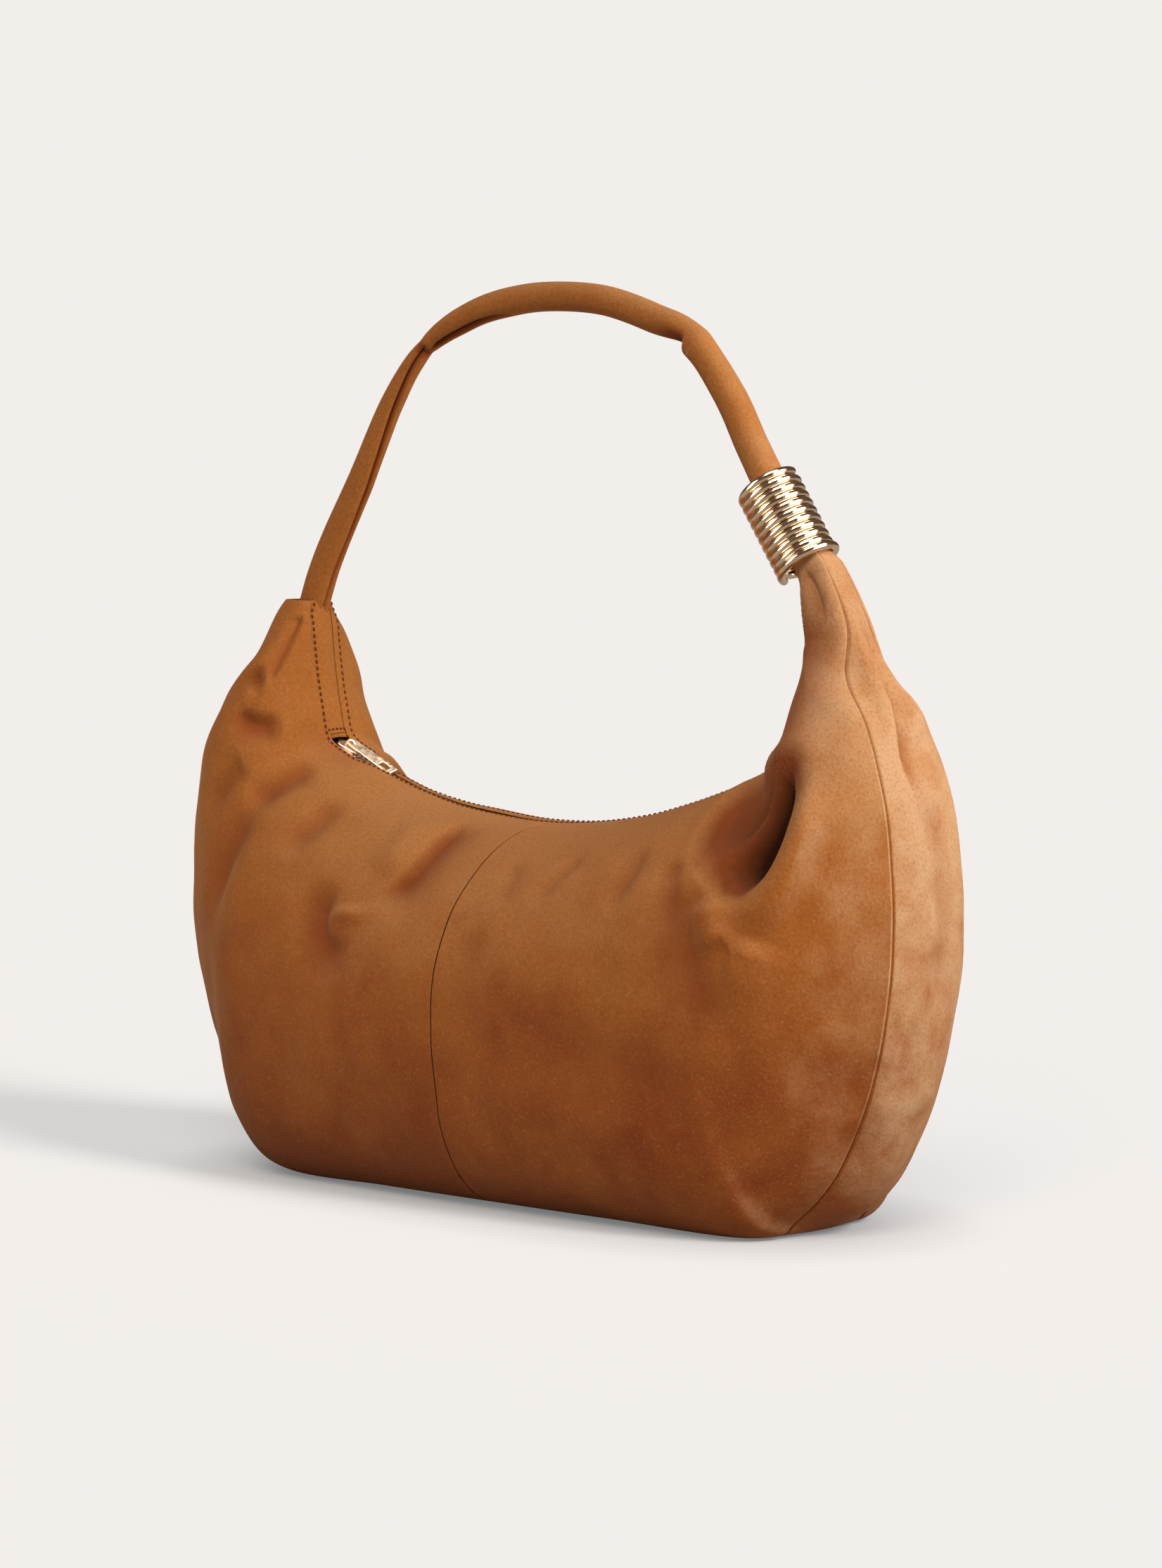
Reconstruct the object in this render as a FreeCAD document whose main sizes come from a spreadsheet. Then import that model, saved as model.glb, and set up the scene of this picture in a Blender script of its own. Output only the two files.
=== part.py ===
import FreeCAD, Part
import math
import os

import Sketcher

from FreeCAD import Placement, Rotation, Vector

# Slouchy half-moon hobo bag.
# Frame: X along the bag, Y through its depth (front is -Y), Z up.
# The origin is on the floor, under the middle of the bag.

doc = FreeCAD.newDocument("hobo_bag")

# ---------------------------------------------------------------- dimensions

DIMENSIONS = {
    # body, millimetres
    "rim_height": 176,          # floor to the zip at mid length
    "half_length": 219,         # middle to the widest point of an end
    "belly_height": 148,        # height of that widest point
    "base_half_length": 143,    # flat part of the base
    "base_lift": 1.0,           # the panels clear the floor beside the base strip
    "shoulder_rise": 122,       # belly to where the end would close over
    "half_depth": 86,           # zip line to the fullest point of a face
    "gusset_half_width": 26,
    "gusset_crown": 10,         # how far the end band bulges past its seams
    "horn_height": 268,         # top of the two horns of the half-moon
    "horn_inner": 152.5,
    "horn_outer": 176,
    "leather": 1.8,
    "lining_gap": 1.6,
    "lining_cloth": 0.8,
    "seam_gap": 0.3,
    # zip
    "zip_radius": 313,          # the rim is an arc of this radius, seen from the front
    "zip_half_angle": 27,
    "zip_end_room": 28,         # plain tape between the last tooth and the end of the slot
    "zip_slot_half": 6,
    "facing_width": 18,
    "tape_depth": 3.5,          # skin of the rim to the middle of the tape
    "tape_cloth": 0.6,
    "tape_edge": 3.3,           # zip line to the near edge of a tape
    "tape_width": 10.5,         # and to its far edge
    "tape_spare": 1,            # degrees of tape past each end of the zip
    "tooth_pitch": 3.4,
    "tooth_length": 1.4,
    "tooth_reach": 3.2,
    "tooth_height": 2.4,
    # slider and pull
    "slider_length": 13,
    "slider_width": 9.4,
    "slider_tail_width": 7.4,
    "plate": 1.4,
    "channel_half": 1.4,
    "bail_width": 2,
    "bail_bar": 1.2,
    "bail_window": 3.8,
    "pull_length": 33,
    "pull_width": 6.2,
    "pull_plate": 1.2,
    # strap and coil
    "hinge_height": 278,        # line about which the strap flops
    "strap_radius": 7.8,
    "strap_cloth": 1.3,
    "core_gap": 0.4,
    "fold_radius": 9.5,
    "apex_height": 420,
    "pinch_reach": 83,          # middle to each of the two pinched corners
    "pinch_height": 399,
    "leg_foot": 163.5,          # middle to the strap's foot, on the hinge line
    "coil_wire": 3.7,
    "coil_pitch": 4.05,
    "coil_turns": 10.5,
    "coil_radius": 14.4,        # middle of the wire
    "coil_start": 21,           # hinge line to the coil's mouth, along the strap
    "gather_radius": 11,
}

sheet = doc.addObject("Spreadsheet::Sheet", "dimensions")
for row, (alias, value) in enumerate(DIMENSIONS.items(), start=1):
    sheet.set("A%d" % row, alias)
    sheet.set("B%d" % row, str(value))
    sheet.setAlias("B%d" % row, alias)
doc.recompute()


def size(alias):
    """A driving dimension, read from the spreadsheet."""
    return float(sheet.get(alias))


def bound(thing, **expressions):
    """Bind properties of a document object to formulas over the sheet."""
    for name, formula in expressions.items():
        for alias in sorted(DIMENSIONS, key=len, reverse=True):
            formula = formula.replace("<%s>" % alias, "dimensions.%s" % alias)
        thing.setExpression(name.replace("__", "."), formula)
    return thing


subparts = []


def subpart(thing, label):
    thing.Label = label
    subparts.append(thing)
    return thing


def feature(label, shape):
    """A sub-part whose shape is computed here rather than by a modelling feature."""
    thing = doc.addObject("Part::Feature", label)
    thing.Shape = shape
    thing.Placement = Placement()
    return subpart(thing, label)


# ---------------------------------------------------------------- body shape
#
# The body is a half-moon. A station is a flat section through it that holds the Y
# direction, a point of the rim and a point of the outer outline. Stations fan round from
# the middle of the bag (upright) to the top of a horn (level).

ARC_CENTRE = size("rim_height") + size("zip_radius")


def rim_point(angle):
    """A point of the zip arc, by its angle from the middle of the bag."""
    turn = math.radians(angle)
    radius = size("zip_radius")
    return radius * math.sin(turn), ARC_CENTRE - radius * math.cos(turn)


def horn_point(part):
    """A point up the inner edge of a horn, from the zip's end (0) to the top (1)."""
    foot_x, foot_z = rim_point(size("zip_half_angle"))
    rise = size("horn_height") - foot_z
    return foot_x + (size("horn_inner") - foot_x) * part ** 0.8, foot_z + rise * part


def end_point(angle):
    """A point of the outline round one end, by its angle above the belly."""
    turn = math.radians(angle)
    rise = size("shoulder_rise") if angle > 0 else size("belly_height")
    reach = size("half_length") - size("base_half_length")
    return (size("base_half_length") + reach * math.cos(turn),
            size("belly_height") + rise * math.sin(turn))


def station(rim, outer, depth, band, crown, fall):
    return {"rim": rim, "outer": outer, "depth": depth * size("half_depth"), "fall": fall,
            "band": band * size("gusset_half_width"), "crown": crown * size("gusset_crown")}


LIFT = size("base_lift")
HALF_STATIONS = [
    # rim point, outer point, fractions of the depth, band width and band crown, and how
    # quickly the section narrows towards its foot (0.7 full, 1 elliptic, 2 almost straight)
    station(rim_point(0), (0, LIFT), 1.0, 1.0, 0.0, 0.7),
    station(rim_point(11), (70, LIFT), 0.985, 1.0, 0.0, 0.7),
    station(rim_point(20), (size("base_half_length"), LIFT), 0.94, 1.0, 0.0, 0.75),
    station(rim_point(24.5), end_point(-70), 0.885, 1.0, 0.3, 1.1),
    station(horn_point(0.02), end_point(-52), 0.79, 1.0, 0.9, 1.8),
    station(horn_point(0.26), end_point(-30), 0.69, 1.0, 0.9, 2.2),
    station(horn_point(0.46), end_point(-8), 0.60, 1.0, 0.8, 2.2),
    station(horn_point(0.63), end_point(18), 0.49, 0.95, 0.8, 2.0),
    station(horn_point(0.78), end_point(40), 0.365, 0.8, 0.8, 1.7),
    station(horn_point(0.89), end_point(56), 0.25, 0.55, 0.5, 1.3),
    station(horn_point(1), (size("horn_outer"), size("horn_height")), 0.14, 0.3, 0.2, 1.0),
]
BASE_END = 2                    # last station that stands on the flat base
ZIP_END = 4                     # station at the end of the zip
LINING_END = 8                  # last station that the lining reaches
HORN_TOP = len(HALF_STATIONS) - 1


def eased(before, low, high, after, part):
    """Smooth value between low and high, given their neighbours."""
    rise, fall = (high - before) / 2, (after - low) / 2
    cube = 2 * low - 2 * high + rise + fall
    square = 3 * high - 3 * low - 2 * rise - fall
    return ((cube * part + square) * part + rise) * part + low


def between(place):
    """The station at a fractional place in the list; places below 0 are the left half."""
    side = -1 if place < 0 else 1
    place = abs(place)
    first = min(int(place), len(HALF_STATIONS) - 2)
    part = place - first
    rows = [HALF_STATIONS[max(0, min(first + step, len(HALF_STATIONS) - 1))]
            for step in (-1, 0, 1, 2)]
    if first == 0:
        rows[0] = dict(HALF_STATIONS[1])
        for key in ("rim", "outer"):
            rows[0][key] = (-HALF_STATIONS[1][key][0], HALF_STATIONS[1][key][1])
    if first == len(HALF_STATIONS) - 2:
        rows[3] = {key: extended(rows[1][key], rows[2][key]) for key in rows[2]}
    item = {}
    for key in ("depth", "band", "crown", "fall"):
        item[key] = eased(*[row[key] for row in rows], part)
    for key in ("rim", "outer"):
        x, z = [eased(*[row[key][axis] for row in rows], part) for axis in (0, 1)]
        item[key] = (side * x, z)
    return item


def extended(low, high):
    """One more step past the last value, for the slope at the end of the list."""
    if isinstance(low, tuple):
        return tuple(2 * b - a for a, b in zip(low, high))
    return 2 * high - low


def stations(first, last, steps_each=3):
    """Evenly placed stations from one place to another."""
    count = round(abs(last - first) * steps_each)
    return [between(first + (last - first) * i / count) for i in range(count + 1)]


FULLEST = 0.47                  # where along a section the body is deepest


def section_point(item, path, inset):
    """Point of a front half-section, inset from the skin.

    path runs from 0 at the rim to 1 at the fullest point and 2 at the gusset seam,
    and on to 3 at the middle of the gusset.
    """
    rim = Vector(item["rim"][0], 0, item["rim"][1])
    outer = Vector(item["outer"][0], 0, item["outer"][1])
    along = outer - rim
    length = along.Length
    along.normalize()
    top = inset
    foot = length - inset
    middle = FULLEST * length
    depth = item["depth"] - inset
    band = item["band"]
    if path <= 1:
        turn = path * math.pi / 2
        out = depth * math.sin(turn)
        down = middle - (middle - top) * math.cos(turn)
    elif path <= 2:
        turn = (path - 1) * math.pi / 2
        out = band + (depth - band) * max(0, math.cos(turn)) ** item["fall"]
        down = middle + (foot - middle) * math.sin(turn)
    else:
        out = band * (3 - path)
        down = foot + item["crown"] * (1 - (3 - path) ** 2)
    return rim + along * down + Vector(0, -out, 0)


def path_at(item, out):
    """Where the upper part of a section is a given distance out from the zip line."""
    return math.asin(min(1, out / item["depth"])) * 2 / math.pi


def grid_face(rows):
    surface = Part.BSplineSurface()
    surface.interpolate(rows)
    return surface


def sheet_solid(skin, back):
    """A sheet between two grids of points: its skin, its back face and its four edges."""
    surfaces = [grid_face(skin), grid_face(back)]
    faces = [surface.toShape() for surface in surfaces]
    for end in (0, 1):
        faces.append(Part.makeRuledSurface(*[surface.uIso(end).toShape() for surface in surfaces]))
        faces.append(Part.makeRuledSurface(*[surface.vIso(end).toShape() for surface in surfaces]))
    shell = Part.Shell(faces)
    shell.sewShape()
    solid = Part.Solid(shell)
    if solid.Volume < 0:
        solid.reverse()
    return solid


def front_sheet(items, start, end, inset=0.0, cloth=None, count=8):
    """A sheet that follows the front of the body from one path value to another."""
    cloth = size("leather") if cloth is None else cloth

    def grid(depth):
        return [[section_point(item, start(item) + (end(item) - start(item)) * i / count, depth)
                 for i in range(count + 1)] for item in items]
    return sheet_solid(grid(inset), grid(inset + cloth))


def band_sheet(items, start, end, count=4):
    """A sheet that crosses the plane of the zip line, alike in front and behind."""
    def grid(depth):
        rows = []
        for item in items:
            front = [section_point(item, start(item) + (end(item) - start(item)) * i / count,
                                   depth) for i in range(count + 1)]
            rows.append(front + [Vector(p.x, -p.y, p.z) for p in reversed(front[:-1])])
        return rows
    return sheet_solid(grid(0.0), grid(size("leather")))


def to_back(shape):
    return shape.mirror(Vector(0, 0, 0), Vector(0, 1, 0))


def facing_outer(item):
    """Where the zip facing ends and the main panel starts."""
    return min(size("facing_width"), 0.66 * item["depth"])


def facing_start(item):
    return path_at(item, size("zip_slot_half"))


def facing_end(item):
    return path_at(item, facing_outer(item))


def panel_start(item):
    return path_at(item, facing_outer(item) + size("seam_gap"))


def panel_end(item):
    return 1.996


# Four main panels, joined by the upright seams at mid length.
SEAM = 0.003                    # the first station stands just beside the middle
for side, side_name in ((-1, "left"), (1, "right")):
    half = stations(side * SEAM, side * HORN_TOP)
    panel = front_sheet(half, panel_start, panel_end, count=12)
    feature("front_panel_" + side_name, panel)
    feature("back_panel_" + side_name, to_back(panel))

# End bands, from the flat base up to the horns, each in one piece from front to back.
for side, side_name in ((-1, "left"), (1, "right")):
    half = stations(side * BASE_END, side * HORN_TOP)
    feature("gusset_" + side_name, band_sheet(half, lambda item: 2.02, lambda item: 3.0))

# The band under the bag is flat: the bag stands on it.
base = doc.addObject("Part::Box", "base_strip")
bound(base, Length="2 * <base_half_length> - 1", Width="2 * <gusset_half_width> - 1",
      Height="<leather>")
base.Placement = Placement(Vector(-size("base_half_length") + 0.5,
                                  -size("gusset_half_width") + 0.5, 0), Rotation())
subpart(base, "base_strip")

# Zip facings run from horn to horn, each side of the slot.
facing = front_sheet(stations(-HORN_TOP, HORN_TOP), facing_start, facing_end, count=4)
feature("zip_facing_front", facing)
feature("zip_facing_back", to_back(facing))


# Above each end of the zip a tab closes the slot.
def tab_edge(item):
    return path_at(item, size("zip_slot_half") - size("seam_gap"))


for side, side_name in ((-1, "left"), (1, "right")):
    half = stations(side * ZIP_END, side * HORN_TOP)
    feature("zip_end_tab_" + side_name, band_sheet(half, tab_edge, lambda item: 0.0, 3))

# Lining, hung inside the panels, in a front and a back half.
lining = front_sheet(stations(-LINING_END, LINING_END),
                     lambda item: path_at(item, 1.2 * facing_outer(item)), lambda item: 2.98,
                     size("leather") + size("lining_gap"), size("lining_cloth"), 14)
feature("lining_front", lining)
feature("lining_back", to_back(lining))

# ---------------------------------------------------------------- zip

TAPE_RADIUS = size("zip_radius") + size("tape_depth")


def on_arc(angle, lift=0.0):
    """Placement on the tape's arc: X along the zip, Z out of the bag."""
    turn = math.radians(angle)
    radius = TAPE_RADIUS - lift
    return Placement(Vector(radius * math.sin(turn), 0, ARC_CENTRE - radius * math.cos(turn)),
                     Rotation(Vector(0, 1, 0), -angle))


def degrees_along(distance):
    return math.degrees(distance / TAPE_RADIUS)


for side, side_name in ((-1, "front"), (1, "back")):
    # A tape is a ring sector cut from two cylinders about the arc's centre.
    solids = []
    for label, sign in (("outer", "+"), ("inner", "-")):
        wedge = doc.addObject("Part::Cylinder", "tape_%s_%s" % (label, side_name))
        bound(wedge, Radius="<zip_radius> + <tape_depth> %s <tape_cloth> / 2" % sign,
              Height="<tape_width> - <tape_edge>", Angle="2 * <zip_half_angle> + 2 * <tape_spare>")
        solids.append(wedge)
        spread = size("zip_half_angle") + size("tape_spare")
        far = -size("tape_edge") if side < 0 else size("tape_width")
        lying = Rotation(Vector(1, 0, 0), 90)
        swing = Rotation(Vector(0, 1, 0), 90 + spread)
        wedge.Placement = Placement(Vector(0, far, ARC_CENTRE), swing.multiply(lying))
    tape = doc.addObject("Part::Cut", "zip_tape_" + side_name)
    tape.Base = solids[0]
    tape.Tool = solids[1]
    subpart(tape, "zip_tape_" + side_name)

SLIDER_ANGLE = -size("zip_half_angle") + degrees_along(size("slider_length") / 2 + 2.2)
FIRST_TOOTH = SLIDER_ANGLE - degrees_along(1.0)
LAST_TOOTH = size("zip_half_angle") - degrees_along(size("zip_end_room"))
TOOTH_LAP = 0.9                 # how far a tooth reaches past the zip line

for side, side_name in ((-1, "front"), (1, "back")):
    step = degrees_along(size("tooth_pitch"))
    angle = FIRST_TOOTH + (step / 2 if side > 0 else 0)
    near = -size("tooth_reach") if side < 0 else -TOOTH_LAP
    teeth = []
    while angle < LAST_TOOTH:
        tooth = Part.makeBox(size("tooth_length"), size("tooth_reach") + TOOTH_LAP,
                             size("tooth_height"),
                             Vector(-size("tooth_length") / 2, near, -size("tooth_height") / 2))
        tooth.Placement = on_arc(angle).multiply(tooth.Placement)
        teeth.append(tooth)
        angle += step
    feature("zip_teeth_" + side_name, Part.makeCompound(teeth))


def box_on_arc(name, angle, corner, **sizes):
    """A box bound to the sheet, with a corner given in the tape's own frame."""
    box = doc.addObject("Part::Box", name)
    bound(box, **sizes)
    box.Placement = on_arc(angle).multiply(Placement(corner, Rotation()))
    return box


# Two stops at the closed end and a joined one at the other.
STOP_ANGLE = SLIDER_ANGLE - degrees_along(size("slider_length") / 2 + 1.1)
stops = []
for number, near in enumerate((-size("tooth_reach"), 0.6)):
    stops.append(box_on_arc("top_stop_%d" % number, STOP_ANGLE,
                            Vector(-0.6, near, -size("tooth_height") / 2),
                            Length="1.2", Width="<tooth_reach> - 0.6", Height="<tooth_height>"))
stops.append(box_on_arc("bottom_stop", LAST_TOOTH + degrees_along(2.5),
                        Vector(-1, -size("tooth_reach"), -size("tooth_height") / 2),
                        Length="2", Width="2 * <tooth_reach>", Height="<tooth_height>"))
zip_stops = doc.addObject("Part::Compound", "zip_stops")
zip_stops.Links = stops
subpart(zip_stops, "zip_stops")

# Slider: two plates joined by a post at its wide end, flanges that guide the tapes, and a
# bail for the pull.
HALF_LENGTH, HALF_WIDTH = size("slider_length") / 2, size("slider_width") / 2
CHANNEL, PLATE = size("channel_half"), size("plate")
BAIL_HALF = size("bail_window") / 2 + size("bail_bar")
FLANGE = 0.8
PULL_LIFT = CHANNEL + PLATE + 1.1
pieces = []
for name, low in (("top_plate", CHANNEL), ("bottom_plate", -CHANNEL - PLATE)):
    pieces.append(box_on_arc(name, SLIDER_ANGLE, Vector(-HALF_LENGTH, -HALF_WIDTH, low),
                             Length="<slider_length>", Width="<slider_width>", Height="<plate>"))
for name, near in (("front", -HALF_WIDTH), ("back", HALF_WIDTH - FLANGE)):
    for level, low in (("top", CHANNEL - FLANGE), ("bottom", -CHANNEL)):
        pieces.append(box_on_arc("%s_%s_flange" % (level, name), SLIDER_ANGLE,
                                 Vector(-HALF_LENGTH + 3, near, low), Length="<slider_length> - 3",
                                 Width=str(FLANGE), Height=str(FLANGE)))
pieces.append(box_on_arc("post", SLIDER_ANGLE, Vector(-HALF_LENGTH, -1.2, -CHANNEL),
                         Length="3.2", Width="2.4", Height="2 * <channel_half>"))
frame = box_on_arc("bail_frame", SLIDER_ANGLE,
                   Vector(-BAIL_HALF, -size("bail_width") / 2, CHANNEL + PLATE),
                   Length="<bail_window> + 2 * <bail_bar>", Width="<bail_width>",
                   Height="2.1 + <bail_bar>")
window = box_on_arc("bail_opening", SLIDER_ANGLE,
                    Vector(-size("bail_window") / 2, -size("bail_width"), CHANNEL + PLATE),
                    Length="<bail_window>", Width="2 * <bail_width>", Height="2.1")
bail = doc.addObject("Part::Cut", "bail")
bail.Base = frame
bail.Tool = window
pieces.append(bail)
slider = doc.addObject("Part::MultiFuse", "zip_slider")
slider.Shapes = pieces
subpart(slider, "zip_slider")


# Pull: a flat tab with an eye round the bail and a slot near its free end.
def plane_of(body, role):
    return next(item for item in body.Origin.OriginFeatures if item.Role == role)


def rectangle_sketch(body, name, left, right, half_width):
    """A rectangle about the X axis; its sides are bound to formulas over the sheet."""
    sketch = body.newObject("Sketcher::SketchObject", name)
    sketch.AttachmentSupport = [(plane_of(body, "XY_Plane"), "")]
    sketch.MapMode = "FlatFace"
    corners = [Vector(1, -1, 0), Vector(9, -1, 0), Vector(9, 1, 0), Vector(1, 1, 0)]
    for start, end in zip(corners, corners[1:] + corners[:1]):
        sketch.addGeometry(Part.LineSegment(start, end))
    for line in range(4):
        sketch.addConstraint(Sketcher.Constraint("Coincident", line, 2, (line + 1) % 4, 1))
    for line, kind in ((0, "Horizontal"), (1, "Vertical"), (2, "Horizontal")):
        sketch.addConstraint(Sketcher.Constraint(kind, line))
    sketch.addConstraint(Sketcher.Constraint("Symmetric", 0, 1, 3, 1, -1))
    width = sketch.addConstraint(Sketcher.Constraint("DistanceY", 1, 1, 1, 2, 2))
    near = sketch.addConstraint(Sketcher.Constraint("DistanceX", -1, 1, 0, 1, 1))
    length = sketch.addConstraint(Sketcher.Constraint("DistanceX", 0, 1, 0, 2, 8))
    bound(sketch, **{"Constraints[%d]" % width: "2 * (%s)" % half_width,
                     "Constraints[%d]" % near: left,
                     "Constraints[%d]" % length: "(%s) - (%s)" % (right, left)})
    return sketch


pull = doc.addObject("PartDesign::Body", "zip_pull")
# The sketches start 2 mm off the hinge, so that every distance in them is positive.
outline = rectangle_sketch(pull, "pull_outline", "2 - <pull_plate> / 2",
                           "2 + <pull_length> - <pull_plate> / 2", "<pull_width> / 2")
tab = pull.newObject("PartDesign::Pad", "pull_tab")
tab.Profile = outline
bound(tab, Length="<pull_plate>")
eye = rectangle_sketch(pull, "pull_eye", "2 + <pull_plate> / 2", "2 + <pull_plate> / 2 + 4.2",
                       "<bail_width> / 2 + 0.4")
slot = rectangle_sketch(pull, "pull_slot", "2 + 0.66 * <pull_length>", "2 + 0.9 * <pull_length>",
                        "<pull_width> * 0.22")
for name, profile in (("eye_pocket", eye), ("slot_pocket", slot)):
    pocket = pull.newObject("PartDesign::Pocket", name)
    pocket.Profile = profile
    pocket.Type = "Length"
    pocket.Reversed = True
    bound(pocket, Length="<pull_plate>")
pull.Placement = on_arc(SLIDER_ANGLE).multiply(
    Placement(Vector(-2, 0, PULL_LIFT - size("pull_plate") / 2), Rotation()))
subpart(pull, "zip_pull")

# ---------------------------------------------------------------- strap and coil
#
# The strap lies in the plane of the zip line: a left leg that bows outwards, an arch
# between two pinched corners, and a straight right leg that carries the coil.

FOOT = Vector(size("leg_foot"), 0, size("hinge_height"))
PINCH = Vector(size("pinch_reach"), 0, size("pinch_height"))
LEG = (PINCH - FOOT).normalize()
LEG_LENGTH = (PINCH - FOOT).Length
LEFT_BOW = 8.0
arch_rise = size("apex_height") - size("pinch_height")
ARCH_RADIUS = (size("pinch_reach") ** 2 + arch_rise ** 2) / (2 * arch_rise)


def strap_point(place):
    """Centre line: left leg for 0 to 1, arch for 1 to 2, right leg for 2 to 3."""
    if place <= 1:
        left_foot = Vector(-FOOT.x + 5, 0, FOOT.z)
        left_pinch = Vector(-PINCH.x, 0, PINCH.z)
        outward = Vector(-LEG.z, 0, -LEG.x)
        return left_foot + (left_pinch - left_foot) * place \
            + outward * (4 * LEFT_BOW * place * (1 - place))
    if place <= 2:
        turn = math.asin(PINCH.x / ARCH_RADIUS) * (2 * place - 3)
        return Vector(ARCH_RADIUS * math.sin(turn), 0,
                      size("apex_height") - ARCH_RADIUS * (1 - math.cos(turn)))
    return PINCH - LEG * ((place - 2) * LEG_LENGTH)


def loop_wire(centre, direction, half_wide, half_deep, count=12):
    """Closed oval across the strap; half_deep is along Y."""
    direction.normalize()
    wide = Vector(direction.z, 0, -direction.x)
    points = []
    for i in range(count):
        turn = 2 * math.pi * i / count
        points.append(centre + wide * (half_wide * math.cos(turn))
                      + Vector(0, half_deep * math.sin(turn), 0))
    curve = Part.BSplineCurve()
    curve.interpolate(points, True)
    return Part.Wire([curve.toShape()])


RADIUS = size("strap_radius")
STRAP_SHAPE = [
    # place along the strap, half width and half depth as parts of the radius
    (0.0, 1.45, 1.12), (0.2, 1.32, 0.95), (0.6, 1.12, 0.85), (1.0, 0.86, 0.9),
    (1.25, 1.0, 1.0), (1.75, 1.0, 1.0), (2.0, 0.86, 0.95), (2.25, 1.0, 1.0), (3.0, 1.0, 1.0),
]
STRAP_END = 2.775               # the strap stops inside the coil


def strap_shape(place):
    """Half width and half depth of the strap at a place along it."""
    for low, high in zip(STRAP_SHAPE, STRAP_SHAPE[1:]):
        if place <= high[0]:
            part = (place - low[0]) / (high[0] - low[0])
            blend = part * part * (3 - 2 * part)
            return [RADIUS * (a + (b - a) * blend) for a, b in zip(low[1:], high[1:])]
    return [RADIUS, RADIUS]


def strap_tube(inset, start=0.0, sections=34):
    wires = []
    for i in range(sections + 1):
        place = start + (STRAP_END - start) * i / sections
        ahead = strap_point(min(place + 0.05, 3)) - strap_point(max(place - 0.05, 0))
        wide, deep = strap_shape(place)
        wires.append(loop_wire(strap_point(place), ahead, wide - inset, deep - inset))
    return Part.makeLoft(wires, True, False)


fold = Part.makeCylinder(size("fold_radius"), 2 * 1.45 * RADIUS,
                         strap_point(0) - Vector(1.45 * RADIUS, 0, 0), Vector(1, 0, 0))
cover = strap_tube(0.0).fuse(fold).cut(strap_tube(size("strap_cloth"), start=0.1))
feature("strap_cover", cover)
feature("strap_core", strap_tube(size("strap_cloth") + size("core_gap"), start=0.1))

# A reinforcing tab inside the left horn, which the strap is sewn to.
anchor = doc.addObject("Part::Box", "strap_anchor")
bound(anchor, Length="16", Width="8", Height="28")
anchor.Placement = Placement(Vector(-172, -4, size("horn_height") - 30), Rotation())
subpart(anchor, "strap_anchor")


def on_leg(distance):
    """Placement on the right leg: Z up the strap, the given distance from its foot."""
    return Placement(FOOT + LEG * distance, Rotation(Vector(0, 0, 1), LEG))


# The gathered tail of the body goes up through the coil and meets the strap inside it.
gather_radius = size("gather_radius")
gather = Part.makeLoft([
    loop_wire(FOOT, Vector(0, 0, 1), 13, size("fold_radius")),
    loop_wire(FOOT + LEG * 10, LEG + Vector(0, 0, 0.4), 12, gather_radius - 0.6),
    loop_wire(FOOT + LEG * size("coil_start"), Vector(LEG), gather_radius, gather_radius),
    loop_wire(FOOT + LEG * (size("coil_start") + 10), Vector(LEG), gather_radius - 0.5,
              gather_radius - 0.5)], True, False)
gather = gather.fuse(Part.makeCylinder(size("fold_radius"), 26, FOOT - Vector(13, 0, 0),
                                       Vector(1, 0, 0)))
feature("tail_gather", gather)

# Coil: a close-wound spring of round wire, loose on the strap.
helix = doc.addObject("Part::Helix", "coil_line")
bound(helix, Pitch="<coil_pitch>", Height="<coil_pitch> * <coil_turns>", Radius="<coil_radius>")
helix.Placement = on_leg(size("coil_start") + size("coil_wire") / 2)
wire = doc.addObject("Part::Circle", "coil_section")
bound(wire, Radius="<coil_wire> / 2")
wire.Placement = helix.Placement.multiply(
    Placement(Vector(size("coil_radius"), 0, 0), Rotation(Vector(1, 0, 0), 90)))
coil = doc.addObject("Part::Sweep", "coil_ring")
coil.Sections = [wire]
coil.Spine = (helix, ["Edge1"])
coil.Solid = True
coil.Frenet = True
subpart(coil, "coil_ring")

doc.recompute()
failed = [thing.Name for thing in doc.Objects
          if "Invalid" in thing.State or "Error" in thing.State]
failed += [thing.Label for thing in subparts
           if thing.Shape.isNull() or not thing.Shape.isValid() or not thing.Shape.Solids]
if failed:
    raise RuntimeError("not built: " + ", ".join(failed))
os.makedirs("parts", exist_ok=True)
for thing in subparts:
    thing.Shape.exportStep("parts/%s.step" % thing.Label)
    box = thing.Shape.optimalBoundingBox()
    print("%-20s %9.1f mm3  x %6.1f %6.1f  y %6.1f %6.1f  z %6.1f %6.1f" % (
        thing.Label, thing.Shape.Volume, box.XMin, box.XMax, box.YMin, box.YMax,
        box.ZMin, box.ZMax))
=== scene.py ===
from math import copysign, cos, degrees, pi, radians, sin

import bpy
import numpy as np
from mathutils import Matrix, Vector, noise
from numpy.linalg import norm

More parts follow.
